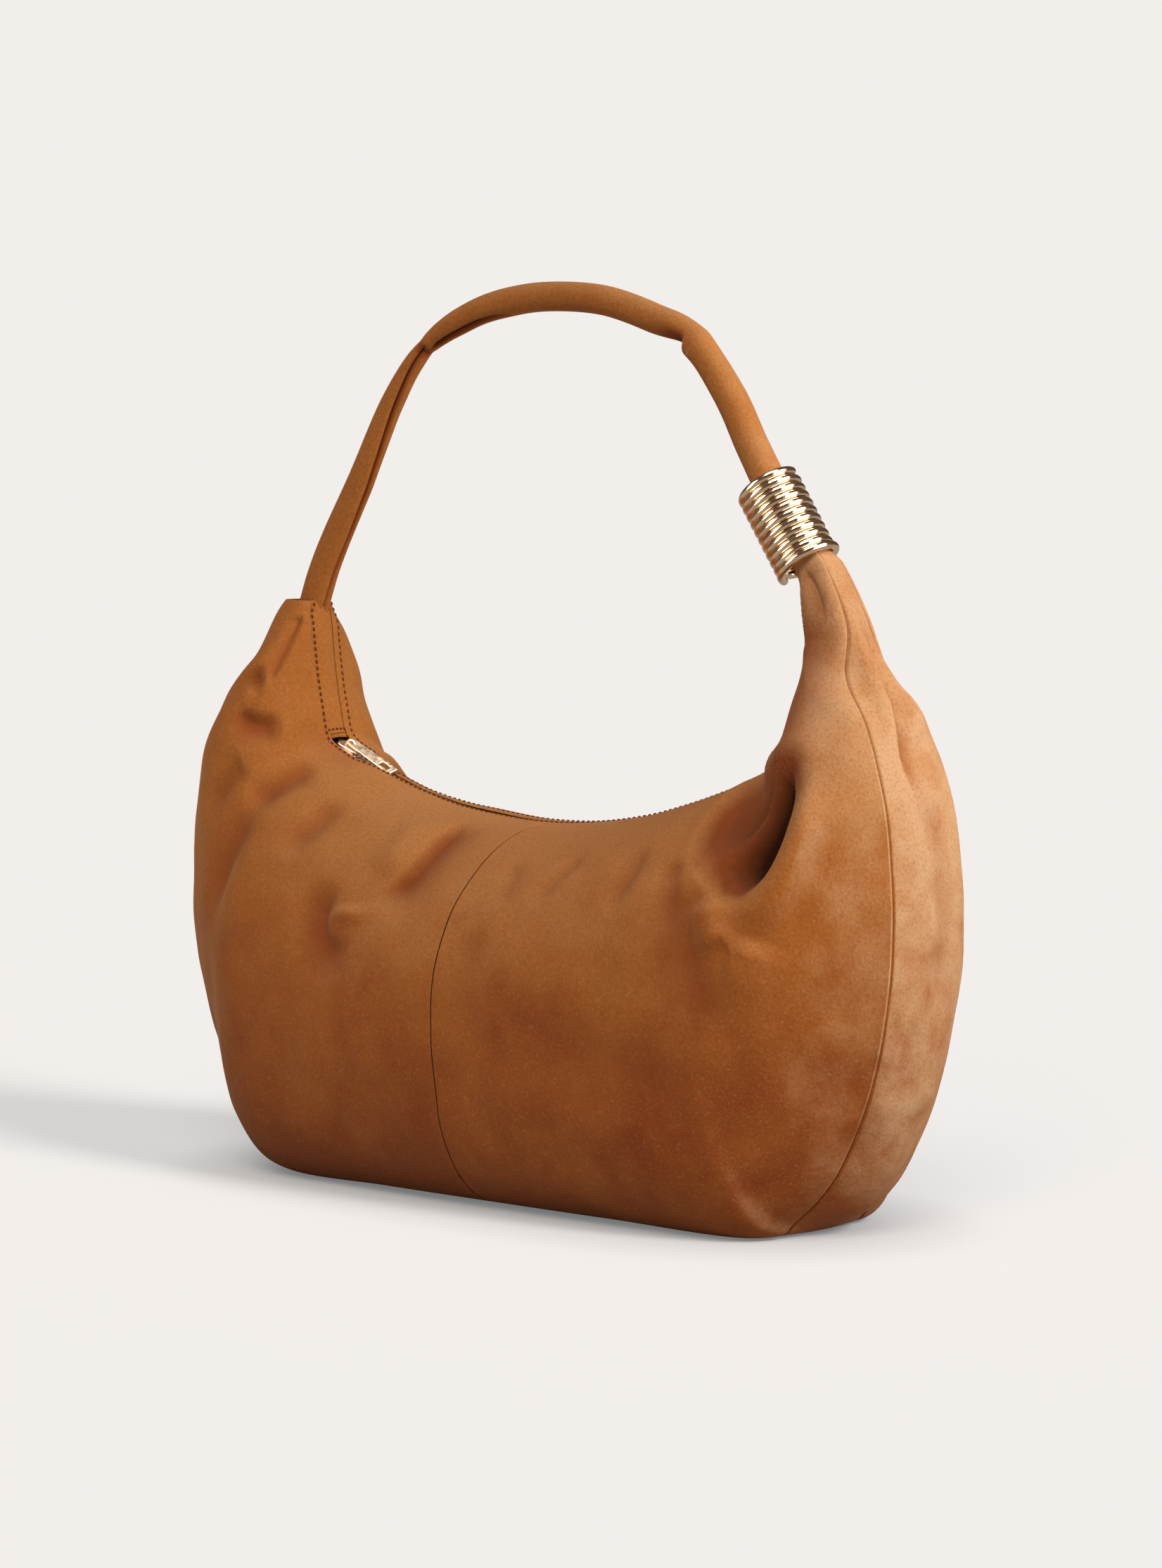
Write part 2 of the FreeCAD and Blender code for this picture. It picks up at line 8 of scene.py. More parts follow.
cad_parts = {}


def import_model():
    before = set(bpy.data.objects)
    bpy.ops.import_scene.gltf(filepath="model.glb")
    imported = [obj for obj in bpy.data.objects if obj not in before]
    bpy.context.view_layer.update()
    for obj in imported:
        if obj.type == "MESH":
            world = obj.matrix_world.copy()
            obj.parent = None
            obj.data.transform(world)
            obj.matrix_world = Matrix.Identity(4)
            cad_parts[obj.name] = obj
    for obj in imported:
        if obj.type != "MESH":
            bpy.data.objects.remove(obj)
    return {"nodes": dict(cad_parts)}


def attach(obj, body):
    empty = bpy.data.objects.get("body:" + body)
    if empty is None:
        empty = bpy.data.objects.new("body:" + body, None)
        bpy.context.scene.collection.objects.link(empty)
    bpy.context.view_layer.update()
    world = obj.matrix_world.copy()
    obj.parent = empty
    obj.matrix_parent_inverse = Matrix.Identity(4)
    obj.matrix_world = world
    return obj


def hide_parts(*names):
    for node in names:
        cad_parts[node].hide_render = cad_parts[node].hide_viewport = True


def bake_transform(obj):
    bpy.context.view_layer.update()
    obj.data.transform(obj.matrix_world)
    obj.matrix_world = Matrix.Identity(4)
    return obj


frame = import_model()
scene = bpy.context.scene
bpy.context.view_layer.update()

# All sizes below are in millimetres. Meshes are made in metres.
MM = 0.001

# ---------------- sizes

RIM_HEIGHT = 176.0
HALF_LENGTH = 219.0
BELLY_HEIGHT = 148.0
BASE_HALF = 140.0
SHOULDER_RISE = 122.0
HALF_DEPTH = 86.0
GUSSET_HALF = 26.0
GUSSET_CROWN = 10.0
HORN_HEIGHT = 268.0
ZIP_RADIUS = 313.0
ZIP_ANGLE = 27.0
TAPE_DEPTH = 3.5
HINGE = 278.0
FOOT = np.array([163.5, 0, HINGE])
PINCH = np.array([83, 0, 399])
COIL_START = 21.0
COIL_WIRE = 3.7
COIL_PITCH = 4.05
COIL_TURNS = 10.5
COIL_RADIUS = 13.0              # of the visible wire; the part's is 14.4
SLIDER_LENGTH = 13.0
SLIDER_GAP = 2.2                # from the slot's end to the parked slider
TAPE_END = 28.0                 # plain tape past the last tooth
TOOTH_STEP = 1.7
ARC_CENTRE = RIM_HEIGHT + ZIP_RADIUS
LEG_LENGTH = float(norm(PINCH - FOOT))
LEG = (PINCH - FOOT) / LEG_LENGTH
ACROSS = np.array([LEG[2], 0, -LEG[0]])       # square to the leg, away from the loop

# ---------------- body shape
#
# A station is a flat section of the half-moon: rim point, outer point, half depth, half
# width of the end band, its crown, and how squarely the body falls to the band. Place 0 is
# mid length; places grow towards the right horn and are negative towards the left one.


def rim_point(angle):
    turn = radians(angle)
    return ZIP_RADIUS * sin(turn), ARC_CENTRE - ZIP_RADIUS * cos(turn)


def end_point(angle, reach=HALF_LENGTH - BASE_HALF):
    turn = radians(angle)
    rise = SHOULDER_RISE if angle > 0 else BELLY_HEIGHT
    return BASE_HALF + reach * cos(turn), BELLY_HEIGHT + rise * sin(turn)


def station(rim, outer, depth, band, crown, fall):
    return (*rim, *outer, depth * HALF_DEPTH, band * GUSSET_HALF, crown * GUSSET_CROWN, fall)


def tail(distance, shift, radius):
    """Round section of the gathered tail, square to the strap's right leg."""
    centre = FOOT + LEG * distance + ACROSS * shift
    inner = centre - ACROSS * radius
    outer = centre + ACROSS * radius
    return (inner[0], inner[2], outer[0], outer[2], radius, radius * 0.6, 0, 1)


RIGHT = [station(*facts) for facts in (
    (rim_point(0), (0, 0), 1, 1, 0, 0.7),
    (rim_point(11), (70, 0), 0.985, 1, 0, 0.7),
    (rim_point(20), (BASE_HALF + 8, 0), 0.94, 1, 0, 0.75),
    (rim_point(24.5), end_point(-70), 0.89, 1, 0.4, 1.1),
    ((142.5, 212), end_point(-52), 0.81, 1, 1.1, 1.7),
    ((147, 224), end_point(-30), 0.72, 1, 1, 2.2),
    ((149, 237), end_point(-8), 0.62, 1, 0.8, 2.2),
    ((149.5, 247), end_point(18), 0.48, 0.95, 0.8, 2),
    ((149.5, 256), end_point(40), 0.35, 0.8, 0.7, 1.7),
    ((149, 263), end_point(56), 0.27, 0.55, 0.5, 1.3),
    ((148.5, 270), (180, 271), 0.19, 0.3, 0.2, 1),
)] + [tail(13, 2.5, 10.5), tail(22, 3, 8.8), tail(33, 1, 8.6)]
LEFT = RIGHT[:2] + [station(*facts) for facts in (
    (rim_point(20), (BASE_HALF - 4, 0), 0.94, 1, 0, 0.75),
    (rim_point(24.5), end_point(-70, 74), 0.88, 1, 0.4, 1.2),
    ((142.5, 212), end_point(-52, 76), 0.76, 1, 0.8, 2),
    ((146, 225), end_point(-30), 0.66, 1, 0.9, 2.3),
    ((148.5, 238), end_point(-8), 0.58, 1, 0.8, 2.2),
    ((150, 249), end_point(18), 0.5, 0.95, 0.9, 2),
    ((151, 258), end_point(40), 0.38, 0.8, 0.9, 1.7),
    ((151.5, 265), end_point(56), 0.27, 0.55, 0.6, 1.3),
    ((152, 271), (177, 270), 0.16, 0.3, 0.2, 1),
    ((152.5, 277), (172, 278), 0.11, 0.24, 0, 1),
)]
RIGHT_TOP = len(RIGHT) - 1
LEFT_TOP = len(LEFT) - 1
FULLEST = 0.47                  # where along a section the body is deepest
FLOOR_GAP = 0.3
SIDES = ((-1, "left", LEFT_TOP), (1, "right", RIGHT_TOP))
FACES = ((1, "front"), (-1, "back"))


def cubic(table, values):
    """Smooth curve through the rows of a table that has one spare row at each end."""
    first = values.astype(int)
    part = (values - first)[:, None]
    a, b, c, d = (table[first + step] for step in range(4))
    rise, fall = (c - a) / 2, (d - b) / 2
    return ((2 * b - 2 * c + rise + fall) * part
            + (3 * c - 3 * b - 2 * rise - fall)) * part * part + rise * part + b


def rows_at(places):
    """Station values at many places, by smooth curves through the lists above."""
    places = np.asarray(places, float)
    side = np.where(places < 0, -1, 1)
    result = np.zeros(places.shape + (8,))
    for sign, table in ((-1, LEFT), (1, RIGHT)):
        table = np.array(table)
        mirror = table[1] * np.array([-1, 1, -1, 1, 1, 1, 1, 1])
        padded = np.vstack([mirror, table, 2 * table[-1] - table[-2]])
        chosen = side == sign
        where = np.clip(np.abs(places[chosen]), 0, len(table) - 1 - 1e-9)
        result[chosen] = cubic(padded, where)
    result[..., 0] *= side
    result[..., 2] *= side
    return result


def shell(places, paths):
    """Points of the smooth body: path 0 rim, 1 fullest, 2 end band's seam, 3 its middle.

    places and paths broadcast together. Negative paths are the back half.
    """
    places, paths = np.broadcast_arrays(places, paths)
    rows = rows_at(places.ravel()).reshape(places.shape + (8,))
    rim, outer = rows[..., 0:2], rows[..., 2:4]
    depth, band, crown = rows[..., 4], rows[..., 5], rows[..., 6]
    along = outer - rim
    length = norm(along, axis=-1)
    along = along / length[..., None]
    path = np.abs(paths)
    face = np.where(paths < 0, 1, -1)
    middle = FULLEST * length
    turn = np.clip(path, 0, 1) * np.pi / 2
    out = depth * np.sin(turn)
    down = middle - middle * np.cos(turn)
    turn = np.clip(path - 1, 0, 1) * np.pi / 2
    low_out = band + (depth - band) * np.maximum(np.cos(turn), 0) ** rows[..., 7]
    low_down = middle + (length - middle) * np.sin(turn)
    out = np.where(path > 1, low_out, out)
    down = np.where(path > 1, low_down, down)
    end_out = band * (3 - path)
    end_down = length + crown * (1 - (3 - path) ** 2)
    out = np.where(path > 2, end_out, out)
    down = np.where(path > 2, end_down, down)
    height = np.maximum(rim[..., 1] + along[..., 1] * down, FLOOR_GAP)
    return np.stack([rim[..., 0] + along[..., 0] * down, face * out, height], axis=-1)


def shell_normals(places, paths):
    """Outward normals of the smooth body."""
    places, paths = np.broadcast_arrays(places, paths)
    step, near = 0.02, 1e-3
    along = shell(places + step, paths) - shell(places - step, paths)
    low = np.where(paths >= 0, np.maximum(paths - step, near), paths - step)
    high = np.where(paths < 0, np.minimum(paths + step, -near), paths + step)
    down = shell(places, high) - shell(places, low)
    normal = np.cross(down, along)
    size = norm(normal, axis=-1, keepdims=True)
    return normal / np.maximum(size, 1e-9)


# ---------------- helpers


def add_object(name, data):
    item = bpy.data.objects.new(name, data)
    scene.collection.objects.link(item)
    return item


def mesh_object(name, points, faces, material, smooth=True):
    """A mesh. Points may carry a fourth value: 1 deep in a fold, 0 plain, below 0 a ridge; the
    suede paints shade in folds by it.
    """
    points = np.asarray(points, float)
    data = bpy.data.meshes.new(name)
    data.from_pydata((points[:, :3] * MM).tolist(), [], faces)
    data.update()
    hollow = data.attributes.new("hollow", "FLOAT", "POINT")
    if points.shape[1] > 3:
        hollow.data.foreach_set("value", points[:, 3])
    if smooth:
        data.polygons.foreach_set("use_smooth", [True] * len(data.polygons))
    data.materials.append(material)
    return add_object(name, data)


def grid_faces(rows, columns, closed=False, start=0):
    """Faces of a grid of points; a closed one joins its last column to its first."""
    across = [(j, (j + 1) % columns) for j in range(columns if closed else columns - 1)]
    downs = [start + i * columns for i in range(rows - 1)]
    return [(a + j, a + k, a + columns + k, a + columns + j) for a in downs for j, k in across]


def grid_object(name, points, material, closed=False):
    """A mesh from a grid of points."""
    rows, columns = points.shape[:2]
    points = points.reshape(rows * columns, -1)
    return mesh_object(name, points, grid_faces(rows, columns, closed), material)


def spaced(start, end, step, dense=3, fine=0.35):
    """Values from start to end, in real distance, with finer steps near both ends."""
    length = abs(end - start)
    count = max(4, int(round(length / step)))
    base = np.linspace(0, length, count + 1)[1:-1]
    edge = np.arange(0, dense, fine)
    values = np.concatenate([edge, base[(base > dense) & (base < length - dense)],
                             length - edge[::-1]])
    return start + (end - start) * values / length


def roll(distance, radius):
    """How far a rolled edge turns under, by the distance from that edge."""
    inside = np.clip(radius - distance, 0, radius)
    return radius - np.sqrt(np.maximum(radius ** 2 - inside ** 2, 0))


def walked_along(points, axis=0):
    """Distance walked to each point of a line, or of a grid along one axis."""
    steps = norm(np.diff(points, axis=axis), axis=-1)
    return np.insert(np.cumsum(steps, axis=axis), 0, 0, axis=axis)


# ---------------- folds
#
# A fold is a short line over the body with a valley beside it. Lines are given as
# (place, path) points of the body; widths and depths are in millimetres.


def smooth_line(points, count=60):
    """Points along a smooth curve through a few given ones."""
    points = np.array(points, float)
    padded = np.vstack([2 * points[0] - points[1], points, 2 * points[-1] - points[-2]])
    return cubic(padded, np.linspace(0, len(points) - 1 - 1e-9, count))


def around(paths):
    """Path values counted on past the middle of the end band, 3, to the back seam, 4."""
    return np.where(paths > 3, paths - 6, paths)


class Fold:
    """A valley (depth > 0) or a ridge (depth < 0) along a line on the body.

    left and right are the widths on each side of the line as it is walked, and power the
    sharpness of its profile: 1 is a crease, 2 a soft hollow. face is 1 for the front only,
    -1 for the back only and 0 for both.
    """

    def __init__(self, line, depth, left, right, power=2, ends=(0.3, 0.35), face=1):
        line = smooth_line(line)
        places, paths = line[:, 0], around(line[:, 1])
        self.points = shell(places, paths)
        along = np.gradient(self.points, axis=0)
        self.left_hand = np.cross(shell_normals(places, paths), along)
        self.depth, self.left, self.right = depth, left, right
        self.power, self.face = power, face
        part = np.linspace(0, 1, len(line))
        fade = np.clip(part / ends[0], 0, 1) * np.clip((1 - part) / ends[1], 0, 1)
        self.fade = fade * fade * (3 - 2 * fade)

    def push(self, where, paths):
        """How far the fold moves each point inwards."""
        flat = where.reshape(-1, 3)
        reach = 3.0 * max(self.left, self.right)
        inside = np.all((flat > self.points.min(axis=0) - reach)
                        & (flat < self.points.max(axis=0) + reach), axis=1)
        if self.face:
            inside &= paths.ravel() * self.face > 0
        result = np.zeros(len(flat))
        near = flat[inside]
        gap = norm(near[:, None, :] - self.points[None, :, :], axis=2)
        index = gap.argmin(axis=1) if len(near) else np.zeros(0, int)
        offset = near - self.points[index]
        side = (offset * self.left_hand[index]).sum(axis=1)
        distance = norm(offset, axis=1)
        width = np.where(side > 0, self.left, self.right)
        result[inside] = self.depth * self.fade[index] * np.exp(-(distance / width) ** self.power)
        return result.reshape(where.shape[:-1])


FOLDS = [
    # deep pocket beside the right horn, and the horn's hollow front above it
    Fold([(6.9, 0.8), (6.3, 0.83), (5.7, 0.84), (5, 0.81), (4.3, 0.77), (3.7, 0.78)],
         28, 8, 18, ends=(0.38, 0.4)),
    Fold([(6.8, 1.08), (6.3, 1.08), (5.7, 1.06), (5, 1.02), (4.3, 0.98)], -4, 9, 9),
    Fold([(4.4, 0.3), (6, 0.42), (8, 0.48), (9.6, 0.5), (11, 0.5)], 6, 24, 22,
         ends=(0.25, 0.3)),
    # the crest sinks beside both horns
    Fold([(-3.4, -0.27), (-2.6, -0.28), (-1.9, -0.28), (-1.3, -0.27), (-0.6, -0.26)], 10, 23, 23,
         ends=(0.35, 0.4), face=-1),
    Fold([(-4.4, 0.08), (-3.9, 0.1), (-3.3, 0.11), (-2.6, 0.12), (-2, 0.12)], 1.8, 12, 12),
    Fold([(2.5, 0.34), (3.2, 0.38), (3.9, 0.45), (4.6, 0.58)], 10, 20, 20, ends=(0.3, 0.3)),
    Fold([(4.6, 1.02), (4.2, 1.04), (3.7, 0.98)], -3.5, 12, 12),
    # short crease and pleats of the gathered tail
    Fold([(11.5, 0.94), (11, 1.15), (10.6, 1.28), (10.1, 1.34)], 3, 1.8, 4.5, 1.3,
         ends=(0.1, 0.25)),
    Fold([(10.6, 3.1), (9.9, 3.1), (9.2, 3.05), (8.55, 2.95), (7.9, 2.72), (7.5, 2.7),
          (6.6, 2.95)], 6.5, 5, 1.3, 1, ends=(0.35, 0.4), face=0),
    Fold([(10.2, 2.7), (9.2, 2.66), (8.4, 2.6), (7.6, 2.45)], -1.8, 5, 5, face=0),
    Fold([(10, 3.25), (9.4, 3.3), (8.8, 3.35), (8.2, 3.45), (7.8, 3.5)], -6.5, 10, 12, face=0,
         ends=(0.45, 0.4)),
    Fold([(7.6, 2.95), (6.8, 3.15), (6, 3.2), (5.2, 3.15)], 1.8, 9, 7, face=0),
    # puckers below the zip, on the right
    Fold([(0.27, 0.36), (0.42, 0.5), (0.4, 0.62)], 1.6, 6, 6),
    Fold([(1.03, 0.36), (0.88, 0.48), (0.72, 0.62)], 2, 6, 6),
    Fold([(1.72, 0.4), (1.66, 0.54), (1.5, 0.68)], 2.8, 5, 8),
    Fold([(2.2, 0.5), (2.36, 0.62), (2.3, 0.78)], 2.6, 5, 8),
    Fold([(2.9, 0.62), (2.9, 0.8), (3.1, 1), (3.6, 1.2)], 4, 10, 16),
    Fold([(3.35, 0.72), (3.55, 0.84), (3.7, 0.94)], -4, 9, 9),
    Fold([(0.9, 0.95), (1.3, 1.1), (1.9, 1.2), (2.6, 1.3)], 2.2, 16, 16),
    Fold([(0.35, 0.62), (0.3, 0.9), (0.45, 1.2)], 1.6, 12, 14),
    # slanting crease and hooked hollow left of the middle seam
    Fold([(-0.62, 0.16), (-0.58, 0.37), (-0.61, 0.51), (-0.8, 0.66)], 6.4, 14, 2.4, 1.4,
         ends=(0.2, 0.3)),
    Fold([(-0.95, 0.2), (-0.85, 0.4), (-0.85, 0.56)], -3, 9, 10),
    Fold([(-1.25, 0.6), (-1.32, 0.74), (-1.15, 0.84), (-0.83, 0.83)], 5.2, 6, 14),
    Fold([(-1.02, 0.66), (-0.98, 0.76)], -3.4, 9, 9, ends=(0.5, 0.5)),
    Fold([(-1.9, 0.3), (-1.9, 0.46), (-2.2, 0.62)], 3.2, 8, 9),
    Fold([(-2.82, 0.22), (-3.48, 0.42), (-4.49, 0.66)], 4.2, 9, 7),
    Fold([(-3.6, 0.55), (-4.1, 0.8), (-4.3, 1.1)], 3.8, 9, 12),
    Fold([(-5.2, 0.62), (-5.54, 0.8), (-5.59, 1.05)], 3.6, 5, 9),
    # left horn: dents below its dart
    Fold([(-9.9, 0.58), (-8.6, 0.46), (-7.51, 0.45), (-6.69, 0.5)], 3.2, 1.5, 6, 1.2,
         ends=(0.1, 0.2)),
    Fold([(-8.1, 0.9), (-7.3, 0.7), (-6.75, 0.52)], 5, 5, 8),
    Fold([(-7, 0.85), (-5.92, 0.56), (-5.1, 0.34)], 5.6, 5, 9),
    Fold([(-7.5, 0.78), (-6.6, 0.62)], -2.4, 6, 6),
]


FOLD_SHADE = 24                 # depth of a fold that gets the full painted shade


def undulation(points):
    """Soft unevenness of leather that has been carried about."""
    flat = points.reshape(-1, 3)
    broad = [noise.noise(Vector(p * 0.017)) for p in flat]
    small = [noise.noise(Vector(p * 0.045 + 7)) for p in flat]
    return (np.array(broad) * 1.6 + np.array(small) * 0.9).reshape(points.shape[:-1])


def body_surface(places, paths, inset=0):
    """Points of the body with its folds, and how deep in a fold each one is, for the painted shade
    in folds.
    """
    places, paths = np.broadcast_arrays(places, paths)
    smooth = shell(places, paths)
    normals = shell_normals(places, paths)
    # firm at the floor, at the horns and along the zip
    slack = np.clip((smooth[..., 2] - 2) / 30, 0, 1)
    slack = slack * np.clip((HORN_HEIGHT + 6 - smooth[..., 2]) / 40, 0, 1)
    slack = slack * np.clip(np.abs(paths) / 0.35, 0.25, 1)
    folded = sum(fold.push(smooth, paths) for fold in FOLDS)
    folded = np.minimum(folded, 2.0 + 70 * np.abs(paths))      # the lips stay over the zip tape
    depth = folded + undulation(smooth) * slack + inset
    moved = smooth - normals * depth[..., None]
    moved[..., 2] = np.maximum(moved[..., 2], FLOOR_GAP)
    return np.concatenate([moved, np.clip(folded / FOLD_SHADE, -1, 1)[..., None]], axis=-1)


# ---------------- materials


class Shader:
    """Short hand for building the nodes of a material or of the world."""

    def __init__(self, name, world=None):
        self.material = world or bpy.data.materials.new(name)
        self.material.use_nodes = True
        self.tree = self.material.node_tree
        self.tree.nodes.clear()
        self.output = self.tree.nodes.new("ShaderNodeOutput" + ("World" if world else "Material"))
        self.coordinates = self.tree.nodes.new("ShaderNodeTexCoord").outputs
        self.place = self.coordinates["Object"]

    def show(self, result):
        self.link(result, self.output.inputs["Surface"])

    def link(self, source, target):
        self.tree.links.new(source, target)

    def feed(self, socket, value):
        """Gives a socket a number, a colour or the output of another node."""
        if isinstance(value, (int, float)):
            socket.default_value = value
        elif isinstance(value, tuple):
            socket.default_value = (*value, 1)
        else:
            self.link(value, socket)

    def node(self, kind, **settings):
        """A node. Names of sockets are written with _ for a blank."""
        node = self.tree.nodes.new(kind)
        for key, value in settings.items():
            if hasattr(node, key):
                setattr(node, key, value)
            else:
                self.feed(node.inputs[key.replace("_", " ")], value)
        return node

    def noise(self, scale, detail=4, roughness=0.5, distortion=0):
        return self.node("ShaderNodeTexNoise", Vector=self.place, Scale=scale, Detail=detail,
                         Roughness=roughness, Distortion=distortion).outputs["Fac"]

    def ramp(self, value, *stops):
        """Colours or grey tones at positions from 0 to 1, and smooth between them."""
        node = self.node("ShaderNodeValToRGB", Fac=value)
        ramp = node.color_ramp
        while len(ramp.elements) < len(stops):
            ramp.elements.new(0.5)
        for element, (position, color) in zip(ramp.elements, stops):
            element.position = position
            if not isinstance(color, tuple):
                color = (color, color, color)
            element.color = (*color, 1)
        return node.outputs["Color"]

    def between(self, value, low, high, top=1):
        """A value's way from low to high, from 0 to top."""
        return self.node("ShaderNodeMapRange", Value=value, From_Min=low, From_Max=high,
                         To_Max=top).outputs[0]

    def mix(self, fac, a, b):
        """Colour a, and colour b where fac is 1."""
        node = self.node("ShaderNodeMix", data_type="RGBA")
        for socket, value in ((0, fac), (6, a), (7, b)):
            self.feed(node.inputs[socket], value)
        return node.outputs[2]

    def tint(self, color, tone, value, low, high):
        """A colour with a tone over it, in amounts given at two positions of a value."""
        return self.mix(self.ramp(value, low, high), color, tone)

    def math(self, operation, a, b):
        node = self.node("ShaderNodeMath", operation=operation)
        self.feed(node.inputs[0], a)
        self.feed(node.inputs[1], b)
        return node.outputs[0]

    def times(self, a, b):
        return self.math("MULTIPLY", a, b)

    def plus(self, value, other, share):
        """A value and a share of another one."""
        return self.math("ADD", value, self.times(other, share))

    def bump(self, height, strength, distance, **more):
        return self.node("ShaderNodeBump", Height=height, Strength=strength,
                         Distance=distance, **more).outputs["Normal"]

    def surface(self, color, roughness, normal, **constants):
        self.show(self.node("ShaderNodeBsdfPrincipled", Base_Color=color, Roughness=roughness,
                            Normal=normal, **constants).outputs[0])


def suede_material():
    """Napped leather. Faces turned to +X are painted pale, as painted light from the right."""
    shader = Shader("suede")
    facing = shader.node("ShaderNodeSeparateXYZ", Vector=shader.coordinates["Normal"])
    where = shader.node("ShaderNodeSeparateXYZ", Vector=shader.place)
    facing_x, facing_up = facing.outputs["X"], facing.outputs["Z"]
    across, up = where.outputs["X"], where.outputs["Z"]
    # dark and sunlit serve only as painted shade and painted light; deep and pale are leather
    # tones that are also used for painted shade and painted light
    dark, deep, base = (0.03, 0.009, 0.004), (0.215, 0.045, 0.01), (0.35, 0.112, 0.021)
    warm, sunlit, pale = (0.43, 0.172, 0.036), (0.47, 0.215, 0.07), (0.545, 0.325, 0.17)

    # wide patches, brushed marks, and speckle of single fibres
    patches = shader.noise(17, 4, 0.55, 0.3)
    brushed = shader.noise(55, 5, 0.58, 0.25)
    speckle = shader.noise(800, 3, 0.65)
    # higher up the colour turns warm, lower down deep: painted light from above and painted shade
    # towards the floor, mixed with the patches
    height = shader.between(up, 0, 0.2)
    upper = shader.plus(shader.times(patches, 0.45), brushed, 0.15)
    upper = shader.plus(upper, height, 0.35)
    color = shader.tint(base, deep, upper, (0.33, 0.85), (0.5, 0))
    color = shader.tint(color, warm, upper, (0.5, 0), (0.72, 0.7))
    rough = shader.plus(shader.plus(-0.7, brushed, 0.9), patches, 0.5)

    # painted light on faces turned upwards, with painted shade towards the left end, which faces
    # away from the light
    painted_top_light = shader.math("SUBTRACT", shader.plus(facing_up, rough, 0.5),
                        shader.between(across, -0.05, -0.17, 0.5))
    color = shader.tint(color, sunlit, painted_top_light, (0.08, 0), (0.85, 0.85))

    # painted light on the right end and its tail, which face the light from the right, made uneven
    # by the nap patches
    turned = shader.math("MAXIMUM", shader.ramp(facing_x, (0.62, 0), (0.93, 1)),
                         shader.between(up, 0.17, 0.24, 0.9))
    turned = shader.times(turned, shader.between(across, 0.11, 0.18))
    lit_end_and_nap = shader.plus(0.2, height, 0.2)
    spread = shader.plus(0.15, turned, 0.85)
    lit_end_and_nap = shader.plus(shader.times(turned, lit_end_and_nap), rough, spread)
    color = shader.tint(color, pale, lit_end_and_nap, (0.03, 0), (0.46, 0.92))
    color = shader.tint(color, deep, speckle, (0.36, 0.3), (0.52, 0))
    color = shader.tint(color, pale, speckle, (0.56, 0), (0.74, 0.26))

    # painted shade in folds: deeper red, then nearly black, by how deep in a fold a point lies
    hollow = shader.node("ShaderNodeAttribute", attribute_name="hollow").outputs["Fac"]
    color = shader.tint(color, deep, hollow, (0.02, 0), (0.26, 0.85))
    color = shader.tint(color, dark, hollow, (0.34, 0), (0.8, 0.98))
    grain = shader.noise(520, 3, 0.6, 0.2)
    pores = shader.node("ShaderNodeTexVoronoi", Vector=shader.place, Scale=640).outputs["Distance"]
    normal = shader.bump(shader.mix(0.45, grain, pores), 0.4, 0.0006)
    normal = shader.bump(brushed, 0.25, 0.002, Normal=normal)
    shader.surface(color, 0.9, normal, Sheen_Weight=0.22, Sheen_Roughness=0.45,
                   Sheen_Tint=(1, 0.62, 0.34), Specular_IOR_Level=0.06)
    return shader.material


def gold_material(name, roughness):
    """Pale gold plate with faint handling marks."""
    shader = Shader(name)
    color = shader.ramp(shader.noise(180, 3), (0.3, (0.8, 0.59, 0.39)),
                        (0.7, (0.9, 0.71, 0.51)))
    rough = shader.ramp(shader.noise(420, 4, 0.6),
                        (0.3, roughness * 0.7), (0.8, roughness * 1.6))
    normal = shader.bump(shader.noise(260, 2), 0.03, 0.0005)
    shader.surface(color, rough, normal, Metallic=1)
    return shader.material


def cloth_material(name, dark, light, threads):
    """Plain weave, for the lining, the zip tape and the strap's cord."""
    shader = Shader(name)
    waves = [shader.node("ShaderNodeTexWave", bands_direction=direction, Vector=shader.place,
                         Scale=threads / 6.28, Distortion=0.4).outputs["Fac"]
             for direction in ("X", "Z")]
    weave = shader.times(*waves)
    color = shader.ramp(weave, (0.1, dark), (0.8, light))
    color = shader.mix(0.35, color, shader.ramp(shader.noise(60, 4, 0.6),
                                                (0.3, dark), (0.7, light)))
    shader.surface(color, 0.85, shader.bump(weave, 0.4, 0.0003), Sheen_Weight=0.25,
                   Specular_IOR_Level=0.2)
    return shader.material


def thread_material():
    """Twisted sewing thread."""
    color = (0.15, 0.042, 0.013)
    shader = Shader("thread")
    twist = shader.node("ShaderNodeTexWave", bands_direction="DIAGONAL", Scale=900,
                        Vector=shader.place).outputs["Fac"]
    shade = shader.ramp(twist, (0.2, tuple(0.6 * c for c in color)), (0.8, color))
    shader.surface(shade, 0.7, shader.bump(twist, 0.4, 0.0002), Specular_IOR_Level=0.1)
    return shader.material


SUEDE = suede_material()
GOLD = gold_material("gold", 0.12)
BRASS = gold_material("zip_gold", 0.32)
TAPE = cloth_material("tape_weave", (0.1, 0.035, 0.018), (0.24, 0.09, 0.04), 1500)
LINING = cloth_material("lining_weave", (0.1, 0.06, 0.04), (0.26, 0.17, 0.11), 1100)
THREAD = thread_material()
CORE = cloth_material("cord_weave", (0.5, 0.44, 0.36), (0.78, 0.72, 0.62), 900)

# ---------------- body pieces

SEAM_ROLL = 1.5                 # radius of the turned edge beside a sewn seam
FACING_ROLL = 0.55              # and of the flatter, topstitched edges
HEAD = 4.02                     # place where the zip's slot ends
HEAD_GAP = 5.6                  # half of the slot round the parked slider
ZIP_GAP = 3.0                   # and where the lips lie closer together
COVERED = 0.2                   # and past the last tooth, where they meet
TAB_UNDER = 1.3                 # the end tabs lie this far under the facings
LINING_UNDER = 4.2              # and the lining this far inside the body


